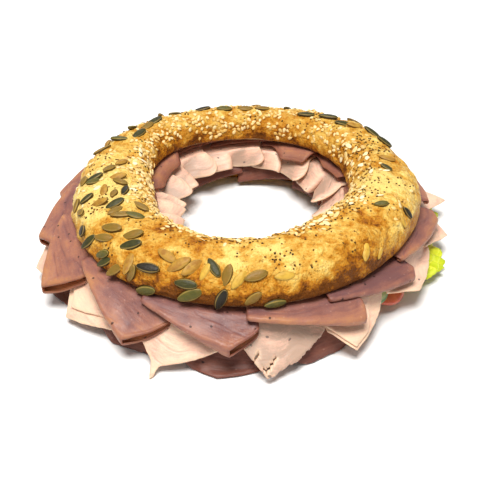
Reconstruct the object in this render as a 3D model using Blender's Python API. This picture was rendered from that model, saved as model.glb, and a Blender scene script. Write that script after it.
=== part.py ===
"""A ring-shaped seeded bagel filled with folded ham, lettuce, tomato and cucumber.

Sizes are in millimetres and become metres where a mesh is made. Angles are in
degrees, counter-clockwise seen from above: 0 is the right side, 270 the front.
A slice is laid out along the ring by `along` (0 at its start, 1 at its end) and
across the ring by its distance from the crown's edge.
"""

import math
import random

import bpy
from mathutils import Matrix, Vector

# Driving dimensions
METRES = 0.001
RING_CENTRE = (-2.6, 5.5)
CROWN_LEVEL = 30.0
BASE_TOP = 14.5
LOWER_HAM_LEVEL = 19.2
LIGHT_HAM_LEVEL = 23.2
DARK_HAM_LEVEL = 29.0
HAM_THICKNESS = 1.2
LETTUCE_THICKNESS = 0.8
FLOOR_GAP = 0.4

# Crown at eight stations: angle, outer radius, width of the ring, height
CROWN_STATIONS = (
    (0, 91.5, 37.6, 19.4),
    (45, 92.5, 29.8, 16.1),
    (90, 87.4, 24.0, 14.5),
    (135, 89.3, 26.4, 15.5),
    (180, 90.9, 42.2, 16.6),
    (225, 91.5, 42.0, 17.1),
    (270, 89.4, 37.0, 18.7),
    (315, 87.5, 39.4, 20.5),
)
CROWN_AROUND = 48
CROWN_OVER = 8
CROWN_LIP = 2.4
BASE_AROUND = 36
BASE_INSET = 4.0
BASE_SHOULDER = 6.0
BASE_FOOT = 8.0

# Upper dark ham: start, end, where its tip is along it, reach past the crown at
# its start, tip and end, how steeply it falls, and reach into the hole
DARK_SLICES = (
    (168, 196, 0.82, 7.0, 18.5, 12.0, 0.22, 1.0),
    (187, 216, 0.76, 5.5, 23.5, 5.5, 0.50, -2.0),
    (213, 248, 0.72, 4.0, 18.0, 5.5, 0.80, -2.0),
    (239, 273, 0.78, 3.5, 15.0, 5.5, 0.62, -2.0),
    (270, 305, 0.93, 4.5, 14.0, 6.5, 0.18, -2.0),
    (295, 329, 0.92, 2.0, 10.5, 7.0, 0.34, -2.0),
    (326, 360, 0.90, 2.5, 11.0, 9.0, 0.26, -1.0),
    (360, 387, 0.75, 6.0, 8.5, 5.0, 0.10, 1.0),
    (383, 416, 0.70, 4.0, 9.5, 5.5, 0.30, 2.5),
    (411, 441, 0.65, 4.0, 11.0, 5.5, 0.35, 7.0),
    (436, 467, 0.70, 4.5, 10.0, 5.5, 0.35, -4.0),
    (462, 491, 0.60, 4.0, 12.0, 5.5, 0.35, -4.0),
    (486, 535, 0.88, 5.0, 15.0, 8.0, 0.14, 6.5),
)

# Fold of the upper dark ham: its radius, how much wider it is at the tip, how far
# the ends are drawn out of the hole, and how the inner edge droops into it
FOLD_RADIUS = 0.8
FOLD_PUFF = 0.7
DRAWN_BACK = -4.0
INNER_DROOP = 0.5

# Light ham: start, end, tip along it, reach at start, tip and end, slope of the
# part past the crown, reach of the frill into the hole at start and end, how far
# the frill rises under the crown's edge at start and end, and pleats in the frill
LIGHT_SLICES = (
    (345, 367, 0.50, 6.0, 17.5, 6.0, 0.30, 10.0, 13.0, 0.8, 0.8, 1),
    (365, 387, 0.38, 8.0, 25.0, 5.0, 0.25, 13.0, 15.0, 0.8, 0.4, 1),
    (384, 417, 0.50, 3.0, 10.0, 3.0, 0.60, 15.0, 12.0, 0.4, 0.4, 2),
    (414, 446, 0.45, 3.0, 11.0, 3.0, 0.60, 12.0, 3.0, 0.6, 2.4, 2),
    (443, 475, 0.50, 3.0, 10.0, 3.0, 0.60, 3.0, 8.0, 2.6, 0.6, 2),
    (472, 504, 0.50, 3.0, 11.0, 3.0, 0.60, 9.0, 16.0, 0.7, 0.5, 2),
    (501, 532, 0.50, 3.0, 13.0, 5.0, 0.50, 16.0, 11.0, 0.6, 0.6, 2),
    (529, 549, 0.50, 5.0, 12.0, 5.0, 0.50, 11.0, 9.0, 0.7, 0.7, 1),
    (546, 572, 0.40, 14.0, 22.0, 7.0, 0.45, 9.0, 9.0, 0.8, 0.8, 1),
    (570, 598, 0.24, 9.0, 18.5, 6.0, 0.75, 9.0, 9.0, 0.8, 0.8, 2),
    (597, 628, 0.32, 6.0, 17.5, 4.0, 0.95, 9.0, 9.0, 0.8, 0.8, 2),
    (626, 653, 0.33, 4.0, 19.0, 4.0, 0.88, 9.0, 9.0, 0.8, 0.8, 2),
    (653, 677, 0.23, 7.0, 18.0, 1.5, 0.52, 9.0, 9.0, 0.8, 0.8, 2),
    (677, 708, 0.30, 5.0, 13.5, 7.0, 0.35, 9.0, 10.0, 0.8, 0.8, 2),
)
FRILL_DROP = 7.5

# Lower dark ham: start, end, tip, reach at start, tip and end, reach into the
# hole at start and end, and how far it hangs there
LOWER_SLICES = (
    (195, 223, 0.20, 9.0, 18.0, 5.0, 2.0, 2.0, 3.0),
    (219, 250, 0.40, 7.0, 11.0, 6.0, 2.0, 2.0, 3.0),
    (246, 279, 0.50, 6.0, 15.0, 7.0, 2.0, 2.0, 3.0),
    (275, 304, 0.40, 8.0, 10.0, 6.0, 2.0, 2.0, 3.0),
    (389, 422, 0.40, 3.0, 8.0, 3.0, 13.0, 4.0, 11.0),
    (420, 454, 0.50, 3.0, 8.0, 3.0, 4.5, 4.0, 11.0),
    (452, 490, 0.50, 3.0, 8.0, 3.0, 4.0, 7.0, 11.0),
)

# Lettuce: start, end, reach past the crown and into the hole, height at start
# and end, and slope of the part past the crown
LETTUCE_LEAVES = (
    (335, 356, 16.0, -6.0, 15.3, 15.3, 0.50),
    (362, 385, 19.0, -6.0, 15.3, 15.3, 0.50),
    (392, 448, -7.0, -7.0, 15.3, 15.3, 0.50),
    (455, 525, -7.0, -7.0, 15.3, 15.3, 0.50),
    (535, 582, -7.0, -7.0, 15.3, 15.3, 0.50),
    (587, 664, -7.0, -7.0, 15.3, 15.3, 0.50),
    (588, 600, 8.0, -18.0, 20.5, 19.5, 0.86),
)

# Round slices: angle, distance of the centre from the ring's centre, radius
TOMATO_ROUNDS = (
    (323.5, 79.5, 15.5),
)
CUCUMBER_ROUNDS = (
    (316.0, 79.0, 13.0),
)
TOMATO_LEVEL = 16.1
CUCUMBER_LEVEL = 19.1
TOMATO_THICKNESS = 2.2
CUCUMBER_THICKNESS = 1.9
ROUND_SLOPE = 0.75

# Seeds: length, width and thickness, and how they are spread over the crown as
# zones of first angle, last angle, first and last place across, and count
PUMPKIN_SEED = (11.0, 6.4, 2.8)
SMALL_SEED = (4.4, 2.9, 2.0)
PUMPKIN_ZONES = (
    (150, 215, 0.10, 0.80, 17),
    (215, 262, 0.10, 0.62, 10),
    (262, 292, 0.10, 0.40, 4),
    (335, 372, 0.15, 0.50, 3),
    (20, 62, 0.08, 0.45, 4),
    (62, 150, 0.05, 0.40, 6),
)
SMALL_ZONES = (
    (70, 150, 0.45, 0.95, 10),
    (150, 225, 0.70, 0.97, 7),
    (225, 300, 0.72, 0.97, 7),
    (300, 372, 0.62, 0.97, 8),
    (12, 70, 0.45, 0.95, 6),
)
SEED_CLEARANCE = 7.5
SMALL_CLEARANCE = 4.6
DRAW = 21


def material(name, colour, roughness):
    """A Principled material with one colour and roughness."""
    made = bpy.data.materials.new(name)
    made.use_nodes = True
    shader = made.node_tree.nodes["Principled BSDF"]
    shader.inputs["Base Color"].default_value = (*colour, 1.0)
    shader.inputs["Roughness"].default_value = roughness
    shader.inputs["Metallic"].default_value = 0.0
    return made


def smooth(value):
    """An ease from 0 to 1 for values from 0 to 1."""
    value = min(max(value, 0.0), 1.0)
    return value * value * (3.0 - 2.0 * value)


def mixed(first, second, share):
    return first + (second - first) * share


def past(value, softness=2.0):
    """The amount by which a value is past zero, with a soft start."""
    eased = 0.5 * (value + math.sqrt(value * value + softness * softness))
    return eased - 0.5 * softness * math.exp(-abs(value) / softness)


def crown_size(angle):
    """Outer radius, width and height of the crown, smooth between its stations."""
    count = len(CROWN_STATIONS)
    step = 360.0 / count
    place = (angle % 360.0) / step
    first = int(place) % count
    share = place - int(place)
    rows = [CROWN_STATIONS[(first + shift) % count] for shift in (-1, 0, 1, 2)]
    sizes = []
    for column in (1, 2, 3):
        before, start, end, after = (row[column] for row in rows)
        bend = 2.0 * start + (end - before) * share
        bend += (2.0 * before - 5.0 * start + 4.0 * end - after) * share**2
        bend += (3.0 * start - before - 3.0 * end + after) * share**3
        sizes.append(0.5 * bend)
    return sizes


def outer_edge(angle):
    return crown_size(angle)[0]


def inner_edge(angle):
    outer, width, _ = crown_size(angle)
    return outer - width


def ring_point(angle, radius, level):
    turn = math.radians(angle)
    return Vector((
        RING_CENTRE[0] + radius * math.cos(turn),
        RING_CENTRE[1] + radius * math.sin(turn),
        level,
    ))


def make_object(name, points, faces, finish, rounded=True):
    """A mesh object from points in millimetres."""
    mesh = bpy.data.meshes.new(name)
    mesh.from_pydata([tuple(point * METRES) for point in points], [], faces)
    mesh.validate()
    mesh.materials.append(finish)
    made = bpy.data.objects.new(name, mesh)
    bpy.context.scene.collection.objects.link(made)
    if rounded:
        mesh.shade_smooth()
        mesh.set_sharp_from_angle(angle=math.radians(50.0))
    return made


def sheet(name, rows, thickness, finish):
    """A closed thin solid round a grid of middle points, both faces split alike."""
    count, width = len(rows), len(rows[0])
    upper, lower = [], []
    for i in range(count):
        for j in range(width):
            before, after = rows[max(i - 1, 0)][j], rows[min(i + 1, count - 1)][j]
            inner, outer = rows[i][max(j - 1, 0)], rows[i][min(j + 1, width - 1)]
            normal = (outer - inner).cross(after - before).normalized()
            upper.append(rows[i][j] + normal * thickness / 2.0)
            lower.append(rows[i][j] - normal * thickness / 2.0)
    shift = len(upper)
    faces = []
    for i in range(count - 1):
        for j in range(width - 1):
            a, b = i * width + j, i * width + j + 1
            c, d = a + width + 1, a + width
            faces += [(a, b, c), (a, c, d)]
            faces += [(shift + a, shift + c, shift + b), (shift + a, shift + d, shift + c)]
    rim = [j for j in range(width)]
    rim += [i * width + width - 1 for i in range(1, count)]
    rim += [(count - 1) * width + j for j in range(width - 2, -1, -1)]
    rim += [i * width for i in range(count - 2, 0, -1)]
    for place, a in enumerate(rim):
        b = rim[(place + 1) % len(rim)]
        faces += [(a, shift + a, shift + b), (a, shift + b, b)]
    return make_object(name, upper + lower, faces, finish)


def outline(along, tip, start, peak, end):
    """Reach past the crown along a slice with one tip."""
    if along < tip:
        return mixed(start, peak, (along / tip) ** 1.15)
    return mixed(end, peak, (max(1.0 - along, 0.0) / (1.0 - tip)) ** 0.85)


def stations(count, tip):
    """Places along a slice, one of them at its tip."""
    before = max(1, round(count * tip))
    before = min(before, count - 1)
    first = [tip * i / before for i in range(before)]
    return first + [tip + (1.0 - tip) * i / (count - before) for i in range(count - before + 1)]


def above_floor(level, thickness):
    lowest = thickness / 2.0 + FLOOR_GAP
    return lowest + past(level - lowest, 1.0)


def dark_level(along, reach, fall):
    """Height of an upper dark slice at its reach past the crown's edge."""
    return DARK_HAM_LEVEL - 3.8 * along - past(reach) * (0.15 + fall * along)


def light_level(along, reach, slope):
    """Height of a light slice at its reach past the crown's edge."""
    far = past(reach - 5.0)
    near = past(reach) - far
    return LIGHT_HAM_LEVEL - 2.2 * along - (1.15 + 0.25 * along) * near - slope * far


def lower_level(along, reach):
    """Height of a lower dark slice at its reach past the crown's edge."""
    level = LOWER_HAM_LEVEL - 2.2 * along - (1.1 + 0.5 * along) * past(reach + 3.0)
    return above_floor(level, HAM_THICKNESS)


def dark_slice(index, row, finish):
    """A slice folded under along its outer edge, widest open at its tip."""
    start, end, tip, first, peak, last, fall, inside = row
    rows = []
    for along in stations(7, tip):
        angle = mixed(start, end, along)
        outer = outer_edge(angle)
        at_ends = max(smooth((along - 0.55) / 0.35), 1.0 - smooth(along / 0.12))
        inner = inner_edge(angle) - mixed(inside, min(inside, DRAWN_BACK), at_ends)
        reach = outline(along, tip, first, peak, last)
        near_tip = math.exp(-(((along - tip) / 0.25) ** 2))
        radius = FOLD_RADIUS + FOLD_PUFF * near_tip
        edge = outer + reach - radius
        line = []
        for at in (inner, mixed(inner, outer, 0.5), outer - 1.0, edge):
            hung = INNER_DROOP * past(inner_edge(angle) - at - 1.0, 1.0)
            line.append(ring_point(angle, at, dark_level(along, at - outer, fall) - hung))
        level = dark_level(along, edge - outer, fall)
        line.append(ring_point(angle, edge + radius, level - radius * 1.2))
        line.append(ring_point(angle, edge, level - 2.0 * radius))
        at = edge - min(1.5 + 6.0 * near_tip, max(reach - 5.5, 1.2))
        back = dark_level(along, at - outer, fall) - 2.0 * radius
        line.append(ring_point(angle, at, back))
        rows.append(line)
    return sheet(f"dark_ham_{index:02d}", rows, HAM_THICKNESS, finish)


def frill_point(angle, depth, share, along, row, phase):
    """A point of the pleated edge that hangs into the hole."""
    puff_first, puff_last, pleats = row[-3:]
    swell = smooth((share + 0.15) / 0.7)
    wave = 2.0 * math.pi * pleats * along - 0.7 * math.pi * along + phase
    radius = inner_edge(angle) - depth + 1.8 * (along - 0.5) * share
    turn = -4.6 * swell * math.cos(wave) / radius
    lift = 2.0 * swell * math.cos(wave)
    level = LIGHT_HAM_LEVEL - 2.2 * along - FRILL_DROP * share + lift * 0.75
    level += mixed(puff_first, puff_last, along) * math.exp(-((share / 0.35) ** 2))
    return ring_point(angle + math.degrees(turn), radius - lift * 0.65, level)


def light_slice(index, row, finish):
    """A slice with a pointed outer end and a pleated inner end."""
    start, end, tip, first, peak, last, slope, inside_first, inside_last, _, _, pleats = row
    rows = []
    for along in stations(9 if pleats > 1 else 6, tip):
        angle = mixed(start, end, along)
        outer, inner = outer_edge(angle), inner_edge(angle)
        reach = outline(along, tip, first, peak, last)
        inside = mixed(inside_first, inside_last, along)
        line = []
        for share in (1.0, 0.55, 0.0):
            depth = mixed(0.5, inside, share)
            line.append(frill_point(angle, depth, share, along, row, -0.2 * math.pi))
        for at in (mixed(inner, outer, 0.45), outer - 1.5, outer + 0.4 * reach, outer + reach):
            level = above_floor(light_level(along, at - outer, slope), HAM_THICKNESS)
            line.append(ring_point(angle, at, level))
        rows.append(line)
    return sheet(f"light_ham_{index:02d}", rows, HAM_THICKNESS, finish)


def lower_slice(index, row, finish):
    """A flat slice that hangs from under the light ham down to the floor."""
    start, end, tip, first, peak, last, inside_first, inside_last, hang = row
    rows = []
    for along in stations(5, tip):
        angle = mixed(start, end, along)
        outer, inner = outer_edge(angle), inner_edge(angle)
        reach = outline(along, tip, first, peak, last)
        inside = mixed(inside_first, inside_last, along)
        line = []
        for share in (1.0, 0.0):
            level = LOWER_HAM_LEVEL - 2.2 * along - hang * (0.8 + 0.4 * along) * share
            line.append(ring_point(angle, inner - mixed(-4.5, inside, share), level))
        for at in (-4.0, mixed(-4.0, reach, 0.5), reach):
            line.append(ring_point(angle, outer + at, lower_level(along, at)))
        rows.append(line)
    return sheet(f"lower_ham_{index:02d}", rows, HAM_THICKNESS, finish)


def lettuce_leaf(index, row, finish):
    """A thin wavy leaf that lies on the base and may hang past its edge."""
    start, end, edge, inside, level_first, level_last, slope = row
    shown = edge > 0.0
    count = 8 if shown else 5
    rows = []
    for i in range(count + 1):
        along = i / count
        angle = mixed(start, end, along)
        outer, inner = outer_edge(angle), inner_edge(angle)
        rounded = math.sin(math.pi * mixed(0.12, 0.88, along)) ** 0.6
        reach = mixed(-3.0, edge, rounded) if shown else edge
        flat = mixed(level_first, level_last, along)
        line = [ring_point(angle, inner - inside, flat)]
        for share in (0.0, 0.35, 0.7, 1.0) if shown else (0.0, 1.0):
            at = mixed(-9.0, reach, share)
            wave = 0.9 * smooth((at - 2.0) / 12.0) * math.sin(2.0 * math.pi * 3.0 * along + 1.3 * share)
            level = flat - slope * past(at + 4.0) + wave
            line.append(ring_point(angle, outer + at, level))
        rows.append(line)
    return sheet(f"lettuce_{index:02d}", rows, LETTUCE_THICKNESS, finish)


def round_slice(name, row, middle_level, thickness, finish):
    """A disc that lies on the base and bends over its shoulder."""
    angle, distance, radius = row
    around, rings = 14, (0.55, 1.0)
    centre = ring_point(angle, distance, 0.0)
    upper, lower = [], []
    for share in rings:
        for i in range(around):
            turn = 2.0 * math.pi * i / around
            point = centre + Vector((math.cos(turn), math.sin(turn), 0.0)) * radius * share
            offset = point - ring_point(angle, 0.0, 0.0)
            bearing = math.degrees(math.atan2(offset.y, offset.x))
            beyond = offset.length - outer_edge(bearing)
            level = middle_level - ROUND_SLOPE * past(beyond + 4.0)
            upper.append(Vector((point.x, point.y, level + thickness / 2.0)))
            lower.append(Vector((point.x, point.y, level - thickness / 2.0)))
    points = upper + lower
    points += [Vector((centre.x, centre.y, middle_level + side * thickness / 2.0)) for side in (1, -1)]
    shift = len(upper)
    top, bottom = 2 * shift, 2 * shift + 1
    faces = []
    for i in range(around):
        j = (i + 1) % around
        faces += [(top, i, j), (bottom, shift + j, shift + i)]
        a, b, c, d = i, around + i, around + j, j
        faces += [(a, b, c), (a, c, d)]
        faces += [(shift + a, shift + c, shift + b), (shift + a, shift + d, shift + c)]
        faces += [(b, shift + b, shift + c), (b, shift + c, c)]
    return make_object(name, points, faces, finish)


def ring_solid(name, profile, around, finish):
    """A closed ring through a profile of radius and level at each angle."""
    points, faces = [], []
    for i in range(around):
        angle = 360.0 * i / around
        line = profile(angle)
        points += [ring_point(angle, radius, level) for radius, level in line]
    size = len(line)
    for i in range(around):
        for j in range(size):
            a, b = i * size + j, i * size + (j + 1) % size
            c, d = ((i + 1) % around) * size + (j + 1) % size, ((i + 1) % around) * size + j
            faces += [(a, d, c), (a, c, b)]
    return make_object(name, points, faces, finish)


def crown_surface(angle, across):
    """A point of the crown's top: across is 0 at its outer edge, 1 at its inner."""
    outer, width, height = crown_size(angle)
    turn = math.pi * across
    reach = math.copysign(abs(math.cos(turn)) ** 0.85, math.cos(turn))
    radius = outer - width / 2.0 + reach * width / 2.0
    rise = max(math.sin(turn), 0.0) ** 0.9
    return radius, CROWN_LEVEL + CROWN_LIP + (height - CROWN_LIP) * rise


def crown_profile(angle):
    outer, width, _ = crown_size(angle)
    line = [(outer - CROWN_LIP, CROWN_LEVEL)]
    line += [crown_surface(angle, j / CROWN_OVER) for j in range(CROWN_OVER + 1)]
    line.append((outer - width + CROWN_LIP, CROWN_LEVEL))
    return line


def base_profile(angle):
    outer, inner = outer_edge(angle) - BASE_INSET, inner_edge(angle) + BASE_INSET
    belly = BASE_TOP * 0.5
    return [
        (outer - BASE_FOOT, 0.0),
        (outer - BASE_FOOT * 0.25, belly * 0.4),
        (outer, belly),
        (outer - BASE_SHOULDER, BASE_TOP),
        (inner + BASE_SHOULDER * 0.5, BASE_TOP),
        (inner, belly),
        (inner + BASE_FOOT * 0.5, 0.0),
    ]


def seed_solid(name, size, around, rings, frame, finish):
    """A flattened seed, pointed at one end, in a frame of place and direction."""
    length, width, thickness = size
    points = [Vector((-length / 2.0, 0.0, 0.0))]
    for i in range(1, rings + 1):
        share = i / (rings + 1)
        swell = math.sin(math.pi * share**1.25) ** 0.75
        for j in range(around):
            turn = 2.0 * math.pi * (j + 0.5) / around
            side = swell * math.cos(turn) * width / 2.0
            rise = swell * math.sin(turn) * thickness / 2.0
            points.append(Vector((length * (share - 0.5), side, rise)))
    points.append(Vector((length / 2.0, 0.0, 0.0)))
    last = len(points) - 1
    faces = []
    for j in range(around):
        k = (j + 1) % around
        faces.append((0, 1 + k, 1 + j))
        faces.append((last, last - around + j, last - around + k))
        for i in range(rings - 1):
            a, b = 1 + i * around + j, 1 + i * around + k
            faces += [(a, b, b + around), (a, b + around, a + around)]
    return make_object(name, [frame @ point for point in points], faces, finish)


def seed_frame(angle, across, turn, lift):
    """Place and direction of a seed that lies on the crown."""
    here = ring_point(angle, *crown_surface(angle, across))
    beside = ring_point(angle + 1.0, *crown_surface(angle + 1.0, across))
    inward = ring_point(angle, *crown_surface(angle, across + 0.02))
    first = (beside - here).normalized()
    normal = (inward - here).cross(first).normalized()
    if normal.z < 0.0:
        normal = -normal
    first = Matrix.Rotation(math.radians(turn), 3, normal) @ first
    second = normal.cross(first)
    frame = Matrix((first, second, normal)).transposed().to_4x4()
    frame.translation = here + normal * lift
    return frame


def scattered(zones, clearance, taken, draw):
    """Seed places in zones, kept apart from each other and from those before."""
    places = []
    for first, last, outer, inner, count in zones:
        made = 0
        for _ in range(count * 40):
            if made == count:
                break
            angle = draw.uniform(first, last)
            across = draw.uniform(outer, inner)
            point = ring_point(angle, *crown_surface(angle, across))
            if all((point - other).length > gap + clearance for other, gap in taken):
                taken.append((point, clearance))
                places.append((angle, across, draw.uniform(0.0, 180.0), draw.uniform(0.85, 1.15)))
                made += 1
    return places


def fuse(body, pieces, group_name):
    """One Boolean union of a body with many pieces, applied."""
    group = bpy.data.collections.new(group_name)
    for piece in pieces:
        group.objects.link(piece)
    joint = body.modifiers.new("fused", "BOOLEAN")
    joint.operation = "UNION"
    joint.solver = "EXACT"
    joint.operand_type = "COLLECTION"
    joint.collection = group
    bpy.context.view_layer.update()
    graph = bpy.context.evaluated_depsgraph_get()
    fused = bpy.data.meshes.new_from_object(body.evaluated_get(graph))
    body.modifiers.clear()
    body.data = fused
    for piece in pieces:
        bpy.data.objects.remove(piece, do_unlink=True)
    bpy.data.collections.remove(group)
    fused.shade_smooth()
    fused.set_sharp_from_angle(angle=math.radians(50.0))


def crown(finish):
    """The upper half of the bagel with the seeds that stand out on it."""
    body = ring_solid("crown", crown_profile, CROWN_AROUND, finish)
    draw = random.Random(DRAW)
    taken, seeds = [], []
    for angle, across, turn, scale in scattered(PUMPKIN_ZONES, SEED_CLEARANCE / 2.0, taken, draw):
        size = [value * scale for value in PUMPKIN_SEED]
        frame = seed_frame(angle, across, turn, 0.25)
        seeds.append(seed_solid("seed", size, 5, 3, frame, finish))
    for angle, across, turn, scale in scattered(SMALL_ZONES, SMALL_CLEARANCE / 2.0, taken, draw):
        size = [value * scale for value in SMALL_SEED]
        frame = seed_frame(angle, across, turn, 0.2)
        seeds.append(seed_solid("seed", size, 4, 2, frame, finish))
    fuse(body, seeds, "seeds")


def main():
    for old in list(bpy.data.objects):
        bpy.data.objects.remove(old, do_unlink=True)
    crust = material("seeded crust", (0.62, 0.33, 0.08), 0.55)
    bread = material("bread", (0.72, 0.50, 0.24), 0.8)
    dark_ham = material("dark ham", (0.42, 0.17, 0.15), 0.5)
    light_ham = material("light ham", (0.80, 0.55, 0.43), 0.5)
    lower_ham = material("lower ham", (0.28, 0.09, 0.07), 0.5)
    lettuce = material("lettuce", (0.42, 0.60, 0.06), 0.5)
    tomato = material("tomato", (0.60, 0.10, 0.04), 0.35)
    cucumber = material("cucumber", (0.35, 0.50, 0.18), 0.4)

    crown(crust)
    ring_solid("base", base_profile, BASE_AROUND, bread)
    for index, row in enumerate(DARK_SLICES, 1):
        dark_slice(index, row, dark_ham)
    for index, row in enumerate(LIGHT_SLICES, 1):
        light_slice(index, row, light_ham)
    for index, row in enumerate(LOWER_SLICES, 1):
        lower_slice(index, row, lower_ham)
    for index, row in enumerate(LETTUCE_LEAVES, 1):
        lettuce_leaf(index, row, lettuce)
    for index, row in enumerate(TOMATO_ROUNDS, 1):
        round_slice(f"tomato_{index:02d}", row, TOMATO_LEVEL, TOMATO_THICKNESS, tomato)
    for index, row in enumerate(CUCUMBER_ROUNDS, 1):
        round_slice(f"cucumber_{index:02d}", row, CUCUMBER_LEVEL, CUCUMBER_THICKNESS, cucumber)


main()
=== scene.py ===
"""The looks of a ring-shaped seeded bagel filled with folded ham and greens.

The food's sizes are in millimetres and become metres where a mesh is made. The
floor and the lights are in metres. Angles are in degrees, counter-clockwise seen
from above: 0 is the right side, 270 the front. A slice is laid out along the ring
by `along` (0 at its start, 1 at its end) and across it by its distance from the
crown's edge.
"""

import math
import random
from collections import namedtuple

import bpy
import numpy as np
from mathutils import Matrix, Vector, noise
from mathutils.bvhtree import BVHTree


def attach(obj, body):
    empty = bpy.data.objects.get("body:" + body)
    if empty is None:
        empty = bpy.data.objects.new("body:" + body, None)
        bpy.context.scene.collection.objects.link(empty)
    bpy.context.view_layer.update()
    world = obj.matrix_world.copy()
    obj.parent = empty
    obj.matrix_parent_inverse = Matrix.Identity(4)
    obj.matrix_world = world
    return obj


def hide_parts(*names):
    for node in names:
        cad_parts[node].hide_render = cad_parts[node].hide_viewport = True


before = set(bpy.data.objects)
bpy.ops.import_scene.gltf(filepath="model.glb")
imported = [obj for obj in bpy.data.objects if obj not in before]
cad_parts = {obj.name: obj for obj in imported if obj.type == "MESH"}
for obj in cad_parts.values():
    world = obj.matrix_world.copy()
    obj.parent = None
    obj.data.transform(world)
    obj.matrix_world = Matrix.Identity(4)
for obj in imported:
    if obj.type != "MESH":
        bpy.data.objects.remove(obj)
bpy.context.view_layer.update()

METRES = 0.001
BODY = "root"

# The camera, at the photograph's viewing angle
CAMERA_PLACE = Vector((-5.9, -371.4, 276.9))
CAMERA_AIM = Vector((-5.9, -31.6, 30.0))
CAMERA_LENS = 63.2
CAMERA_SENSOR = 36.0

# The photograph's width and the middle of the ring in it, in pixels. A seed whose
# pixel just misses the crust is drawn towards that middle in small steps.
PICTURE = 480
RING_SHOWN = (240, 190)
MOST_STEPS = 20
STEP_SHARE = 0.01

# The bagel's own sizes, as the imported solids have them
RING_CENTRE = (-2.6, 5.5)
CROWN_LEVEL = 30.0
BASE_TOP = 14.5
LOWER_HAM_LEVEL = 19.2
LIGHT_HAM_LEVEL = 23.2
DARK_HAM_LEVEL = 29.0
HAM_THICKNESS = 1.2
LETTUCE_THICKNESS = 0.8
FLOOR_GAP = 0.4
CROWN_LIP = 2.4
BASE_INSET = 4.0
BASE_SHOULDER = 6.0
BASE_FOOT = 8.0

# How far a slice sinks from its start to its end, where the next one covers it
DARK_STEP = 3.8
HAM_STEP = 2.2

# How far under the crown's edge the part of a slice that shows begins
UNDER_EDGE = 2.0

# Crown at eight stations: angle, outer radius, width of the ring, height
CROWN_STATIONS = (
    (0, 91.5, 37.6, 19.4),
    (45, 92.5, 29.8, 16.1),
    (90, 87.4, 24.0, 14.5),
    (135, 89.3, 26.4, 15.5),
    (180, 90.9, 42.2, 16.6),
    (225, 91.5, 42.0, 17.1),
    (270, 89.4, 37.0, 18.7),
    (315, 87.5, 39.4, 20.5),
)

# Upper dark ham: start, end, where its tip is along it, reach past the crown at
# its start, tip and end, how steeply it falls, and reach into the hole
DARK_SLICES = (
    (168, 196, 0.82, 7.0, 18.5, 12.0, 0.22, 1.0),
    (187, 216, 0.76, 5.5, 23.5, 5.5, 0.50, -2.0),
    (213, 248, 0.72, 4.0, 18.0, 5.5, 0.80, -2.0),
    (239, 273, 0.78, 3.5, 15.0, 5.5, 0.62, -2.0),
    (270, 305, 0.93, 4.5, 14.0, 6.5, 0.18, -2.0),
    (295, 329, 0.92, 2.0, 10.5, 7.0, 0.34, -2.0),
    (326, 360, 0.90, 2.5, 11.0, 9.0, 0.26, -1.0),
    (360, 387, 0.75, 6.0, 8.5, 5.0, 0.10, 1.0),
    (383, 416, 0.70, 4.0, 9.5, 5.5, 0.30, 2.5),
    (411, 441, 0.65, 4.0, 11.0, 5.5, 0.35, 7.0),
    (436, 467, 0.70, 4.5, 10.0, 5.5, 0.35, -4.0),
    (462, 491, 0.60, 4.0, 12.0, 5.5, 0.35, -4.0),
    (486, 535, 0.88, 5.0, 15.0, 8.0, 0.14, 6.5),
)

# Light ham: start, end, tip along it, reach at start, tip and end, slope of the
# part past the crown, reach of the frill into the hole at start and end, how far
# the frill puffs up under the crown's edge at start and end, and pleats in it
LightSlice = namedtuple(
    "LightSlice",
    "start end tip first peak last slope inside_first inside_last puff_first puff_last pleats",
)
LIGHT_SLICES = (
    (345, 367, 0.50, 6.0, 17.5, 6.0, 0.30, 10.0, 13.0, 0.8, 0.8, 1),
    (365, 387, 0.38, 8.0, 25.0, 5.0, 0.25, 13.0, 15.0, 0.8, 0.4, 1),
    (384, 417, 0.50, 3.0, 10.0, 3.0, 0.60, 15.0, 12.0, 0.4, 0.4, 2),
    (414, 446, 0.45, 3.0, 11.0, 3.0, 0.60, 12.0, 3.0, 0.6, 2.4, 2),
    (443, 475, 0.50, 3.0, 10.0, 3.0, 0.60, 3.0, 8.0, 2.6, 0.6, 2),
    (472, 504, 0.50, 3.0, 11.0, 3.0, 0.60, 9.0, 16.0, 0.7, 0.5, 2),
    (501, 532, 0.50, 3.0, 13.0, 5.0, 0.50, 16.0, 11.0, 0.6, 0.6, 2),
    (529, 549, 0.50, 5.0, 12.0, 5.0, 0.50, 11.0, 9.0, 0.7, 0.7, 1),
    (546, 572, 0.40, 14.0, 22.0, 7.0, 0.45, 9.0, 9.0, 0.8, 0.8, 1),
    (570, 598, 0.24, 9.0, 18.5, 6.0, 0.75, 9.0, 9.0, 0.8, 0.8, 2),
    (597, 628, 0.32, 6.0, 17.5, 4.0, 0.95, 9.0, 9.0, 0.8, 0.8, 2),
    (626, 653, 0.33, 4.0, 19.0, 4.0, 0.88, 9.0, 9.0, 0.8, 0.8, 2),
    (653, 677, 0.23, 7.0, 18.0, 1.5, 0.52, 9.0, 9.0, 0.8, 0.8, 2),
    (677, 708, 0.30, 5.0, 13.5, 7.0, 0.35, 9.0, 10.0, 0.8, 0.8, 2),
)

# Pleats of the frill: how far it drops, how much longer and deeper it is on a
# crest, how far a crest swings sideways, and how far it rises at root and edge
FRILL_DROP = 7.5
CREST_LENGTH = 0.30
CREST_DEPTH = 0.22
CREST_SWING = 3.9
CREST_RISE = (1.0, 2.8)

# How much creamier (above 0) or pinker (below 0) a light slice is than the others
LIGHT_TINTS = {9: -0.1, 10: 0.2, 11: 0.2, 12: -0.95, 13: 0.15}

# Light slices with a thin strip at the tip: its length, and half its width as a
# share of the slice's length
LIGHT_TAILS = {11: (5.0, 0.02)}

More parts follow.
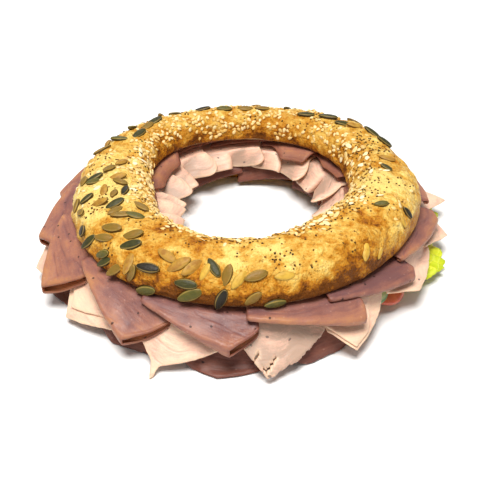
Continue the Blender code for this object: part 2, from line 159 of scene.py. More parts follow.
# Lower dark ham: start, end, tip, reach at start, tip and end, reach into the
# hole at start and end, and how far it hangs there
LOWER_SLICES = (
    (195, 223, 0.20, 9.0, 18.0, 5.0, 2.0, 2.0, 3.0),
    (219, 250, 0.40, 7.0, 11.0, 6.0, 2.0, 2.0, 3.0),
    (246, 279, 0.50, 6.0, 15.0, 7.0, 2.0, 2.0, 3.0),
    (275, 304, 0.40, 8.0, 10.0, 6.0, 2.0, 2.0, 3.0),
    (389, 422, 0.40, 3.0, 8.0, 3.0, 13.0, 4.0, 11.0),
    (420, 454, 0.50, 3.0, 8.0, 3.0, 4.5, 4.0, 11.0),
    (452, 490, 0.50, 3.0, 8.0, 3.0, 4.0, 7.0, 11.0),
)

# Lettuce: start, end, reach past the crown and into the hole, height at start
# and end, and slope of the part past the crown
LETTUCE_LEAVES = (
    (335, 356, 16.0, -6.0, 15.3, 15.3, 0.50),
    (362, 385, 19.0, -6.0, 15.3, 15.3, 0.50),
    (392, 448, -7.0, -7.0, 15.3, 15.3, 0.50),
    (455, 525, -7.0, -7.0, 15.3, 15.3, 0.50),
    (535, 582, -7.0, -7.0, 15.3, 15.3, 0.50),
    (587, 664, -7.0, -7.0, 15.3, 15.3, 0.50),
    (588, 600, 8.0, -18.0, 20.5, 19.5, 0.86),
)

# Round slices: angle, distance of the centre from the ring's centre, radius,
# height of the middle of the slice, and thickness
TOMATO = (323.5, 79.5, 15.5, 16.1, 2.2)
CUCUMBER = (316.0, 79.0, 13.0, 19.1, 1.9)
ROUND_SLOPE = 0.75

# Seeds on the crown: length, width and thickness
PUMPKIN_SEED = (11.0, 4.7, 2.5)
SESAME_SEED = (2.9, 1.9, 0.9)
POPPY_SEED = (1.3, 1.0, 0.8)
OAT_FLAKE = (5.0, 2.6, 0.5)

# How dark a roasted pumpkin seed is
YELLOW = 0.04
TAN = 0.16
OLIVE = 0.38
GREEN = 0.62
DARK = 0.84
BLACK = 1.0

# Pumpkin seeds that the photograph shows: place in its pixels, turn of the long
# axis there in degrees, darkness, and share of the full length
SEEDS_SHOWN = (
    (84, 182, 85, OLIVE, 0.9), (94, 182, 20, GREEN, 0.9), (120, 182, -20, OLIVE, 0.9),
    (125, 191, 80, BLACK, 0.9), (114, 194, 80, OLIVE, 0.85), (104, 192, 85, TAN, 0.9),
    (87, 199, 40, DARK, 0.8), (100, 203, 20, TAN, 1.0), (115, 204, 30, DARK, 1.0),
    (141, 207, -30, OLIVE, 1.05), (115, 211, 30, OLIVE, 0.85), (122, 215, 4, OLIVE, 1.1),
    (135, 216, -15, GREEN, 0.95), (81, 213, -35, OLIVE, 0.9), (112, 228, -4, OLIVE, 1.1),
    (104, 238, -5, OLIVE, 0.95), (133, 235, 15, OLIVE, 1.05), (131, 245, 12, DARK, 1.1),
    (83, 231, -70, BLACK, 1.05), (89, 242, 40, DARK, 1.0), (103, 254, 15, GREEN, 0.9),
    (105, 262, 25, DARK, 0.9), (115, 270, 30, OLIVE, 1.0), (129, 264, 72, TAN, 1.1),
    (132, 273, 65, OLIVE, 1.0), (148, 268, -10, BLACK, 1.1), (167, 256, -35, TAN, 1.05),
    (179, 265, 28, TAN, 1.15), (192, 268, 33, TAN, 1.15), (186, 284, -8, DARK, 1.05),
    (145, 291, 5, GREEN, 1.15), (190, 295, 20, GREEN, 1.2), (205, 272, 60, YELLOW, 0.85),
    (214, 268, -58, DARK, 1.0), (227, 276, 72, OLIVE, 1.05), (239, 280, 50, YELLOW, 1.0),
    (256, 276, 18, OLIVE, 1.05), (285, 276, 5, YELLOW, 0.95), (253, 298, 38, OLIVE, 0.95),
    (275, 303, 10, GREEN, 1.0), (221, 299, 66, BLACK, 1.15), (366, 252, 82, YELLOW, 0.9),
    (380, 253, 75, YELLOW, 0.6), (403, 222, -65, YELLOW, 0.6), (407, 213, -50, BLACK, 0.75),
    (381, 204, 5, GREEN, 0.7), (386, 168, -45, DARK, 0.9), (387, 159, -15, TAN, 0.9),
    (384, 142, -30, DARK, 1.1), (372, 133, -40, DARK, 1.1), (354, 126, -12, TAN, 0.9),
    (343, 124, -10, DARK, 1.0), (328, 117, -10, DARK, 1.1), (306, 115, -4, DARK, 1.0),
    (263, 109, 0, OLIVE, 1.0), (245, 109, 0, OLIVE, 0.9), (224, 109, 0, GREEN, 0.9),
    (202, 110, 15, BLACK, 1.0), (154, 122, 35, DARK, 1.1), (147, 127, 38, OLIVE, 0.9),
    (139, 134, 40, DARK, 1.0), (118, 177, 15, TAN, 0.9), (95, 178, 30, DARK, 0.9),
    (109, 169, 35, OLIVE, 0.9), (121, 163, 30, TAN, 0.9), (77, 206, 80, OLIVE, 0.8),
)

# Pumpkin seeds on the far side: first and last angle, outermost and innermost
# place across, and count
FAR_SEEDS = (
    (30, 62, 0.10, 0.34, 4),
    (62, 120, 0.08, 0.30, 8),
    (120, 165, 0.08, 0.40, 9),
)

# Where small seeds lie: first and last angle, outermost and innermost place
# across, and count
SESAME_ZONES = (
    (50, 150, 0.30, 0.84, 250),
    (60, 140, 0.86, 0.97, 22),
    (150, 208, 0.58, 0.93, 120),
    (208, 300, 0.66, 0.92, 190),
    (298, 345, 0.60, 0.90, 95),
    (345, 410, 0.60, 0.90, 85),
    (330, 400, 0.15, 0.60, 16),
    (150, 205, 0.25, 0.60, 22),
)
POPPY_ZONES = (
    (150, 205, 0.25, 0.90, 90),
    (205, 300, 0.62, 0.90, 170),
    (240, 290, 0.30, 0.60, 40),
    (300, 345, 0.55, 0.88, 140),
    (345, 400, 0.45, 0.90, 120),
    (205, 240, 0.20, 0.60, 20),
    (290, 345, 0.20, 0.55, 20),
    (345, 400, 0.15, 0.45, 30),
    (400, 510, 0.20, 0.90, 90),
)
OAT_ZONES = (
    (150, 208, 0.55, 0.92, 26),
    (208, 300, 0.66, 0.86, 34),
    (298, 350, 0.58, 0.80, 34),
    (350, 395, 0.55, 0.85, 14),
    (180, 192, 0.20, 0.36, 5),
)

# Small seeds: name, where they lie, size, shape of seed_template, room round each,
# share of it sunk into the crust, and how many lie in a clump
SMALL_SEEDS = (
    ("oat_flakes", OAT_ZONES, OAT_FLAKE, (5, 10, 1.0, 0.25), 1.2, 0.25, 3),
    ("sesame_seeds", SESAME_ZONES, SESAME_SEED, (5, 8, 1.35, 0.0), 0.75, 0.3, 4),
    ("poppy_seeds", POPPY_ZONES, POPPY_SEED, (4, 6, 1.0, 0.0), 0.3, 0.4, 7),
)

# Where the random draws start
DRAW = 11

# Broad hollows (below 0) and swellings of the crown: angle, place across, reach
# and height in millimetres
CROWN_SWELLINGS = (
    (20, 0.25, 15.0, -2.4),
    (300, 0.30, 9.0, 0.9),
    (322, 0.42, 8.0, -0.8),
    (338, 0.40, 7.0, 0.8),
    (352, 0.50, 8.0, 0.8),
    (5, 0.40, 7.0, -0.7),
    (262, 0.55, 8.0, -0.7),
    (236, 0.45, 9.0, 0.8),
)

# Patches of the crust, in order round the ring: angle, place across, reach in millimetres, and how
# much paler (below 0) or browner (above 0) it is there. The paler patches are partly the crust's own
# colour and partly painted highlight.
CRUST_AND_HIGHLIGHT_PATCHES = (
    (3, 0.45, 9.0, 0.30),
    (15, 0.60, 8.0, 0.25),
    (20, 0.90, 22.0, 0.15),
    (30, 0.50, 9.0, -0.30),
    (172, 0.32, 7.0, 0.40),
    (180, 0.45, 9.0, -0.40),
    (184, 0.45, 28.0, -0.70),
    (186, 0.26, 6.0, -0.60),
    (190, 0.42, 10.0, -0.60),
    (192, 0.16, 16.0, -0.40),
    (198, 0.55, 10.0, -0.70),
    (200, 0.62, 8.0, 0.25),
    (204, 0.33, 9.0, -0.75),
    (206, 0.62, 8.0, 0.30),
    (218, 0.20, 10.0, 0.10),
    (232, 0.38, 18.0, 0.02),
    (236, 0.60, 12.0, 0.30),
    (248, 0.12, 12.0, 0.30),
    (253, 0.62, 8.0, 0.30),
    (264, 0.48, 8.0, -0.50),
    (270, 0.34, 7.0, 0.25),
    (279, 0.52, 9.0, -0.55),
    (284, 0.28, 8.0, -0.40),
    (296, 0.56, 9.0, 0.30),
    (300, 0.10, 5.0, 0.60),
    (307, 0.35, 9.0, 0.15),
    (312, 0.16, 8.0, 0.40),
    (322, 0.48, 11.0, 0.35),
    (338, 0.30, 9.0, 0.45),
    (341, 0.52, 8.0, -0.35),
    (348, 0.45, 26.0, -0.50),
    (350, 0.58, 9.0, -0.60),
)


def smooth(value):
    """An ease from 0 to 1 for values from 0 to 1."""
    value = min(max(value, 0.0), 1.0)
    return value * value * (3.0 - 2.0 * value)


def mixed(first, second, share):
    return first + (second - first) * share


def bell(value, width):
    """A hump of height 1 round zero."""
    return math.exp(-((value / width) ** 2))


def past(value, softness=2.0):
    """How far a value is past zero, with a soft start."""
    eased = 0.5 * (value + math.sqrt(value * value + softness * softness))
    return eased - 0.5 * softness * math.exp(-abs(value) / softness)


def crown_size(angle):
    """Outer radius, width and height of the crown, smooth between its stations."""
    count = len(CROWN_STATIONS)
    place = (angle % 360.0) / (360.0 / count)
    first = int(place) % count
    share = place - int(place)
    rows = [CROWN_STATIONS[(first + shift) % count] for shift in (-1, 0, 1, 2)]
    sizes = []
    for column in (1, 2, 3):
        before, start, end, after = (row[column] for row in rows)
        bend = 2.0 * start + (end - before) * share
        bend += (2.0 * before - 5.0 * start + 4.0 * end - after) * share**2
        bend += (3.0 * start - before - 3.0 * end + after) * share**3
        sizes.append(0.5 * bend)
    return sizes


def outer_edge(angle):
    return crown_size(angle)[0]


def inner_edge(angle):
    outer, width, _ = crown_size(angle)
    return outer - width


def ring_point(angle, radius, level):
    turn = math.radians(angle)
    return (
        RING_CENTRE[0] + radius * math.cos(turn),
        RING_CENTRE[1] + radius * math.sin(turn),
        level,
    )


def rough(points, size, octaves, seed):
    """Uneven values from about -1 to 1 over points, with bumps of a given size."""
    shift = Vector((seed * 7.3, seed * 3.1, seed * 5.7))
    values = np.zeros(len(points))
    for i, point in enumerate(points):
        place = Vector(point) / size + shift
        share = 1.0
        for octave in range(octaves):
            values[i] += noise.noise(place * 2.0**octave) * share
            share *= 0.5
    return values


# Shader sums


class Value:
    """A socket of a material that takes part in plain arithmetic."""

    def __init__(self, finish, socket):
        self.finish = finish
        self.socket = socket

    def math(self, operation, first, second=0.0):
        return self.finish.node("ShaderNodeMath", {"operation": operation}, {0: first, 1: second})

    def __add__(self, other):
        return self.math("ADD", self, other)

    def __radd__(self, other):
        return self.math("ADD", other, self)

    def __sub__(self, other):
        return self.math("SUBTRACT", self, other)

    def __rsub__(self, other):
        return self.math("SUBTRACT", other, self)

    def __mul__(self, other):
        return self.math("MULTIPLY", self, other)

    def __rmul__(self, other):
        return self.math("MULTIPLY", other, self)

    def __abs__(self):
        return self.math("ABSOLUTE", self)

    def over(self, low, high):
        """0 below low, 1 above high, eased between them."""
        inputs = {"Value": self, "From Min": low, "From Max": high}
        return self.finish.node("ShaderNodeMapRange", {"interpolation_type": "SMOOTHSTEP"}, inputs)


class Finish:
    """A material written as sums of its sockets."""

    def __init__(self, name, **constants):
        self.material = bpy.data.materials.new(name)
        self.material.use_nodes = True
        self.tree = self.material.node_tree
        self.shader = self.tree.nodes["Principled BSDF"]
        for socket, value in constants.items():
            self.shader.inputs[socket.replace("_", " ")].default_value = value
        self.place = self.node("ShaderNodeTexCoord", {}, {}, "Object")

    def node(self, kind, settings, inputs, output=0):
        """A node by its type, its settings, which are set first, and its inputs."""
        made = self.tree.nodes.new(kind)
        for name, value in settings.items():
            if name == "stops":
                self.set_stops(made.color_ramp, value)
            else:
                setattr(made, name, value)
        for name, value in inputs.items():
            if isinstance(value, Value):
                self.tree.links.new(value.socket, made.inputs[name])
            else:
                made.inputs[name].default_value = value
        return Value(self, made.outputs[output])

    def set_stops(self, ramp, stops):
        """Colours of a ramp at their places."""
        while len(ramp.elements) < len(stops):
            ramp.elements.new(1.0)
        for element, (place, colour) in zip(ramp.elements, stops):
            element.position = place
            element.color = (*colour, 1.0)

    def read(self, name, output="Fac"):
        return self.node("ShaderNodeAttribute", {"attribute_name": name}, {}, output)

    def cloud(self, size, place=None, detail=2.0, stretch=None):
        """Soft noise with bumps of a size in millimetres, from 0 to 1 round 0.5."""
        place = place or self.place
        if stretch:
            inputs = {0: place, 1: stretch}
            place = self.node("ShaderNodeVectorMath", {"operation": "MULTIPLY"}, inputs)
        inputs = {"Vector": place, "Scale": 1.0 / (size * METRES), "Detail": detail}
        return self.node("ShaderNodeTexNoise", {}, inputs)

    def specks(self, spacing, radius, share, place):
        """Round spots of a radius, in a share of cells a spacing apart."""
        inputs = {"Vector": place, "Scale": 1.0 / (spacing * METRES)}
        cells = {"feature": "F1", "voronoi_dimensions": "2D"}
        near = self.node("ShaderNodeTexVoronoi", cells, inputs, "Distance")
        colour = self.node("ShaderNodeTexVoronoi", cells, inputs, "Color")
        chosen = self.node("ShaderNodeSeparateColor", {}, {0: colour}, 0)
        there = chosen.over(1.0 - share, 1.0 - share + 0.02)
        return (1.0 - near.over(radius / spacing * 0.7, radius / spacing)) * there

    def mix(self, first, second, factor):
        inputs = {0: factor}
        for socket, value in ((6, first), (7, second)):
            inputs[socket] = value if isinstance(value, Value) else (*value, 1.0)
        return self.node("ShaderNodeMix", {"data_type": "RGBA"}, inputs, 2)

    def ramp(self, value, *stops):
        return self.node("ShaderNodeValToRGB", {"stops": stops}, {0: value})

    def bump(self, height, depth):
        """Relief of a height from 0 to 1, with its full depth in millimetres."""
        inputs = {"Height": height, "Distance": depth * METRES}
        return self.node("ShaderNodeBump", {}, inputs)

    def set(self, **sockets):
        for socket, value in sockets.items():
            self.tree.links.new(value.socket, self.shader.inputs[socket.replace("_", " ")])
        return self.material


def crust_finish():
    """Baked crust: pale to orange-brown gold, slightly shiny, finely wrinkled."""
    made = Finish("seeded crust", Specular_IOR_Level=0.12)
    # How baked the crust is, with painted shade at its foot, front and hollows and painted highlight
    # in its paler patches
    bake = made.read("bake")
    large, small, fine = made.cloud(16.0), made.cloud(4.5, detail=4.0), made.cloud(1.2, detail=3.0)
    tone = bake + (large - 0.5) * 0.8 + (small - 0.5) * 1.1 + (fine - 0.5) * 0.75
    colour = made.ramp(
        tone,
        (0.00, (0.82, 0.58, 0.170)),
        (0.20, (0.70, 0.43, 0.090)),
        (0.42, (0.60, 0.310, 0.045)),
        (0.64, (0.49, 0.195, 0.012)),
        (0.84, (0.31, 0.100, 0.005)),
        (1.00, (0.15, 0.045, 0.004)),
    )
    spots = made.cloud(1.7).over(0.62, 0.70)
    colour = made.mix(colour, (0.22, 0.075, 0.008), spots * 0.45)
    colour = made.mix(colour, (0.92, 0.76, 0.48), made.read("cut"))
    wrinkles, grain = made.cloud(2.4, detail=4.0), made.cloud(0.8)
    relief = small * 0.35 + wrinkles * 0.5 + grain * 0.25 - spots * 0.1
    dull = 0.24 + small * 0.28 + made.read("cut") * 0.4
    return made.set(Base_Color=colour, Roughness=dull, Normal=made.bump(relief, 2.8))


def pumpkin_finish():
    """Roasted pumpkin kernels from yellow-tan to dark green, with a paler rim that is partly painted
    highlight, and a painted shade round their outline.
    """
    made = Finish("pumpkin seeds", Specular_IOR_Level=0.28)
    tone = made.read("tone") + (made.cloud(3.0, detail=3.0) - 0.5) * 0.3
    colour = made.ramp(
        tone,
        (0.00, (0.62, 0.38, 0.050)),
        (0.20, (0.30, 0.135, 0.018)),
        (0.42, (0.19, 0.115, 0.015)),
        (0.64, (0.085, 0.078, 0.012)),
        (0.85, (0.038, 0.036, 0.008)),
        (1.00, (0.016, 0.012, 0.005)),
    )
    edge = made.read("edge")
    # A paler line near the rim, partly the seed's own colour and partly painted highlight on its ridge
    pale_rim_and_highlight = 1.0 - abs(edge - 0.5).over(0.08, 0.26)
    colour = made.mix(colour, (0.40, 0.26, 0.06), pale_rim_and_highlight * 0.5)
    # Painted shade: a dark outline where the seed meets the crust
    colour = made.mix(colour, (0.04, 0.02, 0.004), edge.over(0.74, 0.96) * 0.85)
    streaks = made.cloud(0.9, made.read("flat", "Vector"), 2.0, (0.25, 1.0, 1.0))
    relief = streaks * 0.6 + made.cloud(0.7) * 0.4
    return made.set(Base_Color=colour, Roughness=0.38 + streaks * 0.2, Normal=made.bump(relief, 0.45))


def sesame_finish():
    """Cream to toasted yellow, each seed a tone of its own."""
    made = Finish("sesame seeds", Specular_IOR_Level=0.4)
    tone = made.read("tone") + (made.cloud(0.8) - 0.5) * 0.4
    colour = made.ramp(
        tone,
        (0.0, (0.84, 0.66, 0.34)),
        (0.6, (0.76, 0.52, 0.18)),
        (1.0, (0.60, 0.34, 0.07)),
    )
    dull = 0.35 + made.cloud(0.6) * 0.2
    return made.set(Base_Color=colour, Roughness=dull, Normal=made.bump(made.cloud(0.5), 0.1))


def poppy_finish():
    """Near black to brown."""
    made = Finish("poppy seeds", Specular_IOR_Level=0.1)
    colour = made.ramp(made.read("tone"), (0.0, (0.03, 0.015, 0.006)), (1.0, (0.22, 0.10, 0.02)))
    dull = 0.45 + made.cloud(0.3) * 0.3
    return made.set(Base_Color=colour, Roughness=dull, Normal=made.bump(made.cloud(0.25), 0.1))


def oat_finish():
    """Matte cream flakes with browner parts."""
    made = Finish("oat flakes", Specular_IOR_Level=0.3)
    tone = made.read("tone") + (made.cloud(1.2, detail=3.0) - 0.5) * 0.6
    colour = made.ramp(
        tone,
        (0.0, (0.90, 0.78, 0.50)),
        (0.6, (0.80, 0.60, 0.26)),
        (1.0, (0.60, 0.36, 0.10)),
    )
    dull = 0.55 + made.cloud(0.8) * 0.2
    return made.set(Base_Color=colour, Roughness=dull, Normal=made.bump(made.cloud(0.5), 0.15))


def fleshy(name, shine, share, glow, depth):
    """A finish that a share of the light enters to a depth in millimetres."""
    return Finish(
        name,
        Specular_IOR_Level=shine,
        Subsurface_Weight=share,
        Subsurface_Radius=glow,
        Subsurface_Scale=depth * METRES,
    )


def ham_finish(name, stops, under, rim, pepper, dull):
    """Cooked ham: clouded meat with fibres, painted shade in its creases, pepper specks and a rim that
    is drier on the light ham and a painted shade line on the dark hams.
    """
    made = fleshy(name, 0.35, 0.12, (1.0, 0.35, 0.2), 1.5)
    flat = made.read("flat", "Vector")
    clouds = made.cloud(13.0, flat, 3.0)
    fibres = made.cloud(2.2, flat, 4.0, (0.3, 1.4, 1.0))
    grain = made.cloud(0.9, flat, 3.0)
    tone = 0.5 + (clouds - 0.5) * 1.3 + (fibres - 0.5) * 0.65 + (grain - 0.5) * 0.4
    tone += made.read("tint") * 0.5
    # Painted shade: darker lines in the creases that run alongside the crown
    crease_shade = 1.0 - abs(made.cloud(17.0, flat, 1.0, (0.4, 1.3, 1.0)) - 0.5).over(0.0, 0.05)
    colour = made.ramp(tone - crease_shade * 0.16, *stops)
    colour = made.mix(colour, under, made.read("under") * 0.7)
    colour = made.mix(colour, rim, made.read("rim") * 0.6)
    dots = made.specks(7.5, 0.65, 0.28, flat)
    pale = made.specks(3.8, 0.5, 0.25, flat)
    colour = made.mix(colour, (0.85, 0.55, 0.42), pale * 0.10)
    colour = made.mix(colour, pepper, dots * 0.85)
    relief = fibres * 0.5 + grain * 0.25 + clouds * 0.25 - dots * 0.2 - crease_shade * 0.25
    wet = made.cloud(6.0, flat, 2.0)
    return made.set(
        Base_Color=colour,
        Roughness=dull + (wet - 0.5) * 0.35 + (grain - 0.5) * 0.2,
        Normal=made.bump(relief, 0.55),
    )


def dark_ham_finish():
    """Smoked ham, dusty pink-brown with an orange-brown rind below."""
    stops = (
        (0.00, (0.170, 0.072, 0.068)),
        (0.35, (0.245, 0.101, 0.078)),
        (0.65, (0.335, 0.140, 0.090)),
        (1.00, (0.420, 0.185, 0.085)),
    )
    # The rim colour is a painted dark shade line along the slice's folded edge
    under, rim, pepper = (0.50, 0.17, 0.055), (0.17, 0.05, 0.03), (0.03, 0.012, 0.01)
    return ham_finish("dark ham", stops, under, rim, pepper, 0.46)


def light_ham_finish():
    """Pale pink cooked ham."""
    stops = (
        (0.00, (0.46, 0.31, 0.230)),
        (0.35, (0.72, 0.44, 0.325)),
        (0.65, (0.85, 0.57, 0.410)),
        (1.00, (0.88, 0.64, 0.420)),
    )
    under, rim, pepper = (0.80, 0.47, 0.32), (0.84, 0.60, 0.40), (0.16, 0.12, 0.10)
    return ham_finish("light ham", stops, under, rim, pepper, 0.45)


def lower_ham_finish():
    """The darker red-brown of smoked ham in the shade."""
    stops = (
        (0.00, (0.110, 0.034, 0.026)),
        (0.35, (0.155, 0.052, 0.036)),
        (0.65, (0.210, 0.076, 0.050)),
        (1.00, (0.270, 0.108, 0.066)),
    )
    under, rim, pepper = (0.10, 0.026, 0.012), (0.15, 0.04, 0.02), (0.03, 0.01, 0.01)
    return ham_finish("lower ham", stops, under, rim, pepper, 0.45)


def lettuce_finish():
    """A bright yellow-green leaf with pale ribs."""
    made = fleshy("lettuce", 0.2, 0.15, (0.6, 1.0, 0.2), 1.0)
    flat = made.read("flat", "Vector")
    # The tint holds painted shade on the leaf's curls
    tone = made.read("tint") + (made.cloud(6.0, flat, 4.0) - 0.5) * 0.7
    colour = made.ramp(
        tone,
        (0.0, (0.78, 0.80, 0.05)),
        (0.4, (0.64, 0.68, 0.03)),
        (0.8, (0.40, 0.50, 0.015)),
        (1.0, (0.22, 0.36, 0.010)),
    )
    settings, inputs = {"feature": "DISTANCE_TO_EDGE"}, {"Vector": flat, "Scale": 260.0}
    rib = 1.0 - made.node("ShaderNodeTexVoronoi", settings, inputs).over(0.02, 0.12)
    colour = made.mix(colour, (0.80, 0.84, 0.14), rib * 0.3)
    relief = rib * 0.5 + made.cloud(2.0, flat) * 0.5
    dull = 0.35 + made.cloud(3.0) * 0.2
    return made.set(Base_Color=colour, Roughness=dull, Normal=made.bump(relief, 0.3))


def tomato_finish():
    """Wet orange-red flesh with a redder skin."""
    made = fleshy("tomato", 0.5, 0.15, (1.0, 0.25, 0.1), 1.5)
    flesh = made.cloud(4.0, detail=4.0)
    colour = made.ramp(flesh, (0.3, (0.50, 0.085, 0.022)), (0.7, (0.62, 0.17, 0.05)))
    colour = made.mix(colour, (0.42, 0.035, 0.012), made.read("rim") * 0.6)
    dull = 0.22 + flesh * 0.2
    return made.set(Base_Color=colour, Roughness=dull, Normal=made.bump(flesh, 0.4))


def cucumber_finish():
    """Wet pale green flesh with a dark skin."""
    made = fleshy("cucumber", 0.5, 0.15, (0.5, 1.0, 0.3), 1.5)
    flesh = made.cloud(3.0, detail=4.0)
    colour = made.ramp(flesh, (0.3, (0.50, 0.62, 0.26)), (0.7, (0.66, 0.74, 0.40)))
    colour = made.mix(colour, (0.06, 0.16, 0.03), made.read("rim"))
    dull = 0.22 + flesh * 0.2
    return made.set(Base_Color=colour, Roughness=dull, Normal=made.bump(flesh, 0.3))


def floor_finish():
    made = Finish("white floor", Specular_IOR_Level=0.2)
    soft = made.cloud(220.0)
    colour = made.ramp(soft, (0.3, (0.93, 0.93, 0.93)), (0.7, (0.95, 0.95, 0.95)))
    return made.set(Base_Color=colour, Roughness=0.7 + soft * 0.1)


# Meshes


def add_object(name, points, faces, finish, values, nodes):
    """A piece of the sandwich from points in millimetres, with its point values."""
    mesh = bpy.data.meshes.new(name)
    mesh.vertices.add(len(points))
    mesh.vertices.foreach_set("co", (np.asarray(points, dtype=float) * METRES).ravel())
    faces = np.asarray(faces, dtype=np.int32)
    mesh.loops.add(faces.size)
    mesh.loops.foreach_set("vertex_index", faces.ravel())
    mesh.polygons.add(len(faces))
    mesh.polygons.foreach_set("loop_start", np.arange(len(faces), dtype=np.int32) * faces.shape[1])
    mesh.update(calc_edges=True)
    for key, value in values.items():
        value = np.asarray(value, dtype=float)
        kind = "FLOAT_VECTOR" if value.ndim == 2 else "FLOAT"
        layer = mesh.attributes.new(key, kind, "POINT")
        layer.data.foreach_set("vector" if value.ndim == 2 else "value", value.ravel())
    mesh.materials.append(finish)
    mesh.shade_smooth()
    made = bpy.data.objects.new(name, mesh)
    bpy.context.scene.collection.objects.link(made)
    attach(made, BODY)
    if nodes:
        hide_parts(*nodes)
    return made


def accumulated(count, indices, vectors):
    """The sum at each point of the vectors of the faces or edges that use it."""
    total = np.zeros((count, 3))
    for column in indices.T:
        np.add.at(total, column, vectors)
    return total


def unit(vectors):
    return vectors / np.maximum(np.linalg.norm(vectors, axis=-1, keepdims=True), 1e-9)


# A sheet's thickness at its rim, as a share of the full one, and how far the rim
# stands out, as a share of half its thickness
RIM_THINNESS = 0.72
RIM_ROUNDNESS = 0.9

# How far in from the rim a slice looks drier, and about how many points of the
# rim are measured from
RIM_REACH = 1.6
RIM_POINTS = 160

# Shift of the grain's place from one slice to the next, in metres
GRAIN_SHIFT = (0.31, 0.17)


def all_cells(grid):
    """Every cell of a grid, kept."""
    return np.ones((len(grid) - 1, len(grid[0]) - 1), dtype=bool)


def sheet_solid(grid, kept, thickness):
    """A thin solid with a rounded rim round a grid of middle points.

    kept says which cells of the grid are there. What comes back is the points, the
    quads, and for each point the grid point that it is from and its side: 0 on the
    upper face, 1 on the lower face, 0.5 on the rim.
    """
    count, width = grid.shape[:2]
    middle = grid.reshape(-1, 3)
    index = np.arange(count * width).reshape(count, width)
    corners = np.stack((index[:-1, :-1], index[:-1, 1:], index[1:, 1:], index[1:, :-1]), axis=-1)
    cells = corners[kept]
    across = middle[cells[:, 2]] - middle[cells[:, 0]]
    other = middle[cells[:, 3]] - middle[cells[:, 1]]
    normals = unit(accumulated(len(middle), cells, np.cross(across, other)))
    edges = {}
    for cell in cells.tolist():
        for a, b in zip(cell, cell[1:] + cell[:1]):
            if (b, a) in edges:
                del edges[(b, a)]
            else:
                edges[(a, b)] = True
    rim = np.array(list(edges))
    outward = np.cross(middle[rim[:, 1]] - middle[rim[:, 0]], normals[rim[:, 0]])
    push = unit(accumulated(len(middle), rim, outward))
    half = (thickness / 2.0 * np.ones(len(middle)))[:, None]
    on_rim = np.unique(rim)
    half[on_rim] *= RIM_THINNESS
    upper = middle + normals * half
    lower = middle - normals * half
    turned = np.full(len(middle), -1)
    turned[on_rim] = np.arange(len(on_rim))
    edge = middle[on_rim] + push[on_rim] * half[on_rim] * RIM_ROUNDNESS
    points = np.concatenate((upper, lower, edge))
    size = len(middle)
    a, b = rim[:, 0], rim[:, 1]
    rim_a, rim_b = turned[a] + 2 * size, turned[b] + 2 * size
    upper_rim = np.stack((b, a, rim_a, rim_b), axis=-1)
    lower_rim = np.stack((a + size, b + size, rim_b, rim_a), axis=-1)
    faces = np.concatenate((cells, cells[:, ::-1] + size, upper_rim, lower_rim))
    source = np.concatenate((np.arange(size), np.arange(size), on_rim))
    side = np.concatenate((np.zeros(size), np.ones(size), np.full(len(on_rim), 0.5)))
    used = np.unique(faces)
    renumber = np.full(len(points), -1)
    renumber[used] = np.arange(len(used))
    return points[used], renumber[faces], source[used], side[used]


def flat_place(grid, seed):
    """Where each point would lie were the sheet laid flat, in metres."""
    steps_v = np.linalg.norm(np.diff(grid, axis=1), axis=-1)
    steps_u = np.linalg.norm(np.diff(grid, axis=0), axis=-1).mean(axis=1)
    v = np.concatenate((np.zeros((len(grid), 1)), np.cumsum(steps_v, axis=1)), axis=1)
    u = np.concatenate(([0.0], np.cumsum(steps_u)))[:, None] * np.ones_like(v)
    shift_u, shift_v = (seed * shift for shift in GRAIN_SHIFT)
    place = np.stack((u * METRES + shift_u, v * METRES + shift_v, np.zeros_like(v)), axis=-1)
    return place.reshape(-1, 3)


def rim_nearness(grid, kept, reach):
    """1 on the outline of the kept cells, falling to 0 over a reach."""
    count, width = grid.shape[:2]
    held = np.zeros((count, width), dtype=int)
    for shift_i in (0, 1):
        for shift_j in (0, 1):
            held[shift_i : count - 1 + shift_i, shift_j : width - 1 + shift_j] += kept
    border = grid[(held > 0) & (held < 4)]
    border = border[:: max(1, len(border) // RIM_POINTS)]
    points = grid.reshape(-1, 3)
    nearest = np.full(len(points), np.inf)
    for point in border:
        nearest = np.minimum(nearest, np.linalg.norm(points - point, axis=1))
    return np.clip(1.0 - nearest / reach, 0.0, 1.0) ** 1.5


def add_sheet(name, leaves, thickness, finish, seed):
    """A slice as a piece that stands for the node of the same name.

    Each of its leaves is a grid, the cells kept of it, and a tint at each point, which holds painted
    shade as well as the slice's own tone.
    """
    joined, cells, shift = [], [], 0
    values = {"tint": [], "flat": [], "rim": [], "under": []}
    for grid, kept, tint in leaves:
        grid = np.asarray(grid)
        points, faces, source, side = sheet_solid(grid, kept, thickness)
        joined.append(points)
        cells.append(faces + shift)
        shift += len(points)
        values["tint"].append(np.asarray(tint).ravel()[source])
        values["flat"].append(flat_place(grid, seed)[source])
        values["rim"].append(rim_nearness(grid, kept, RIM_REACH)[source])
        values["under"].append(side)
    values = {key: np.concatenate(parts) for key, parts in values.items()}
    points, faces = np.concatenate(joined), np.concatenate(cells)
    return add_object(name, points, faces, finish, values, [name])


# Ham


def outline(along, tip, start, peak, end):
    """Reach past the crown along a slice with one tip."""
    if along < tip:
        return mixed(start, peak, (along / tip) ** 1.15)
    return mixed(end, peak, (max(1.0 - along, 0.0) / (1.0 - tip)) ** 0.85)


def stations(count, tip):
    """Places along a slice, one of them at its tip."""
    before = min(max(1, round(count * tip)), count - 1)
    first = [tip * i / before for i in range(before)]
    return first + [tip + (1.0 - tip) * i / (count - before) for i in range(count - before + 1)]


def above_floor(level, thickness):
    """A level, eased so that a slice's under side stays off the floor."""
    lowest = thickness / 2.0 + FLOOR_GAP
    return lowest + past(level - lowest, 1.0)


# Sizes of the ripples in the slices
LARGE_RIPPLE = 17.0
SMALL_RIPPLE = 6.5


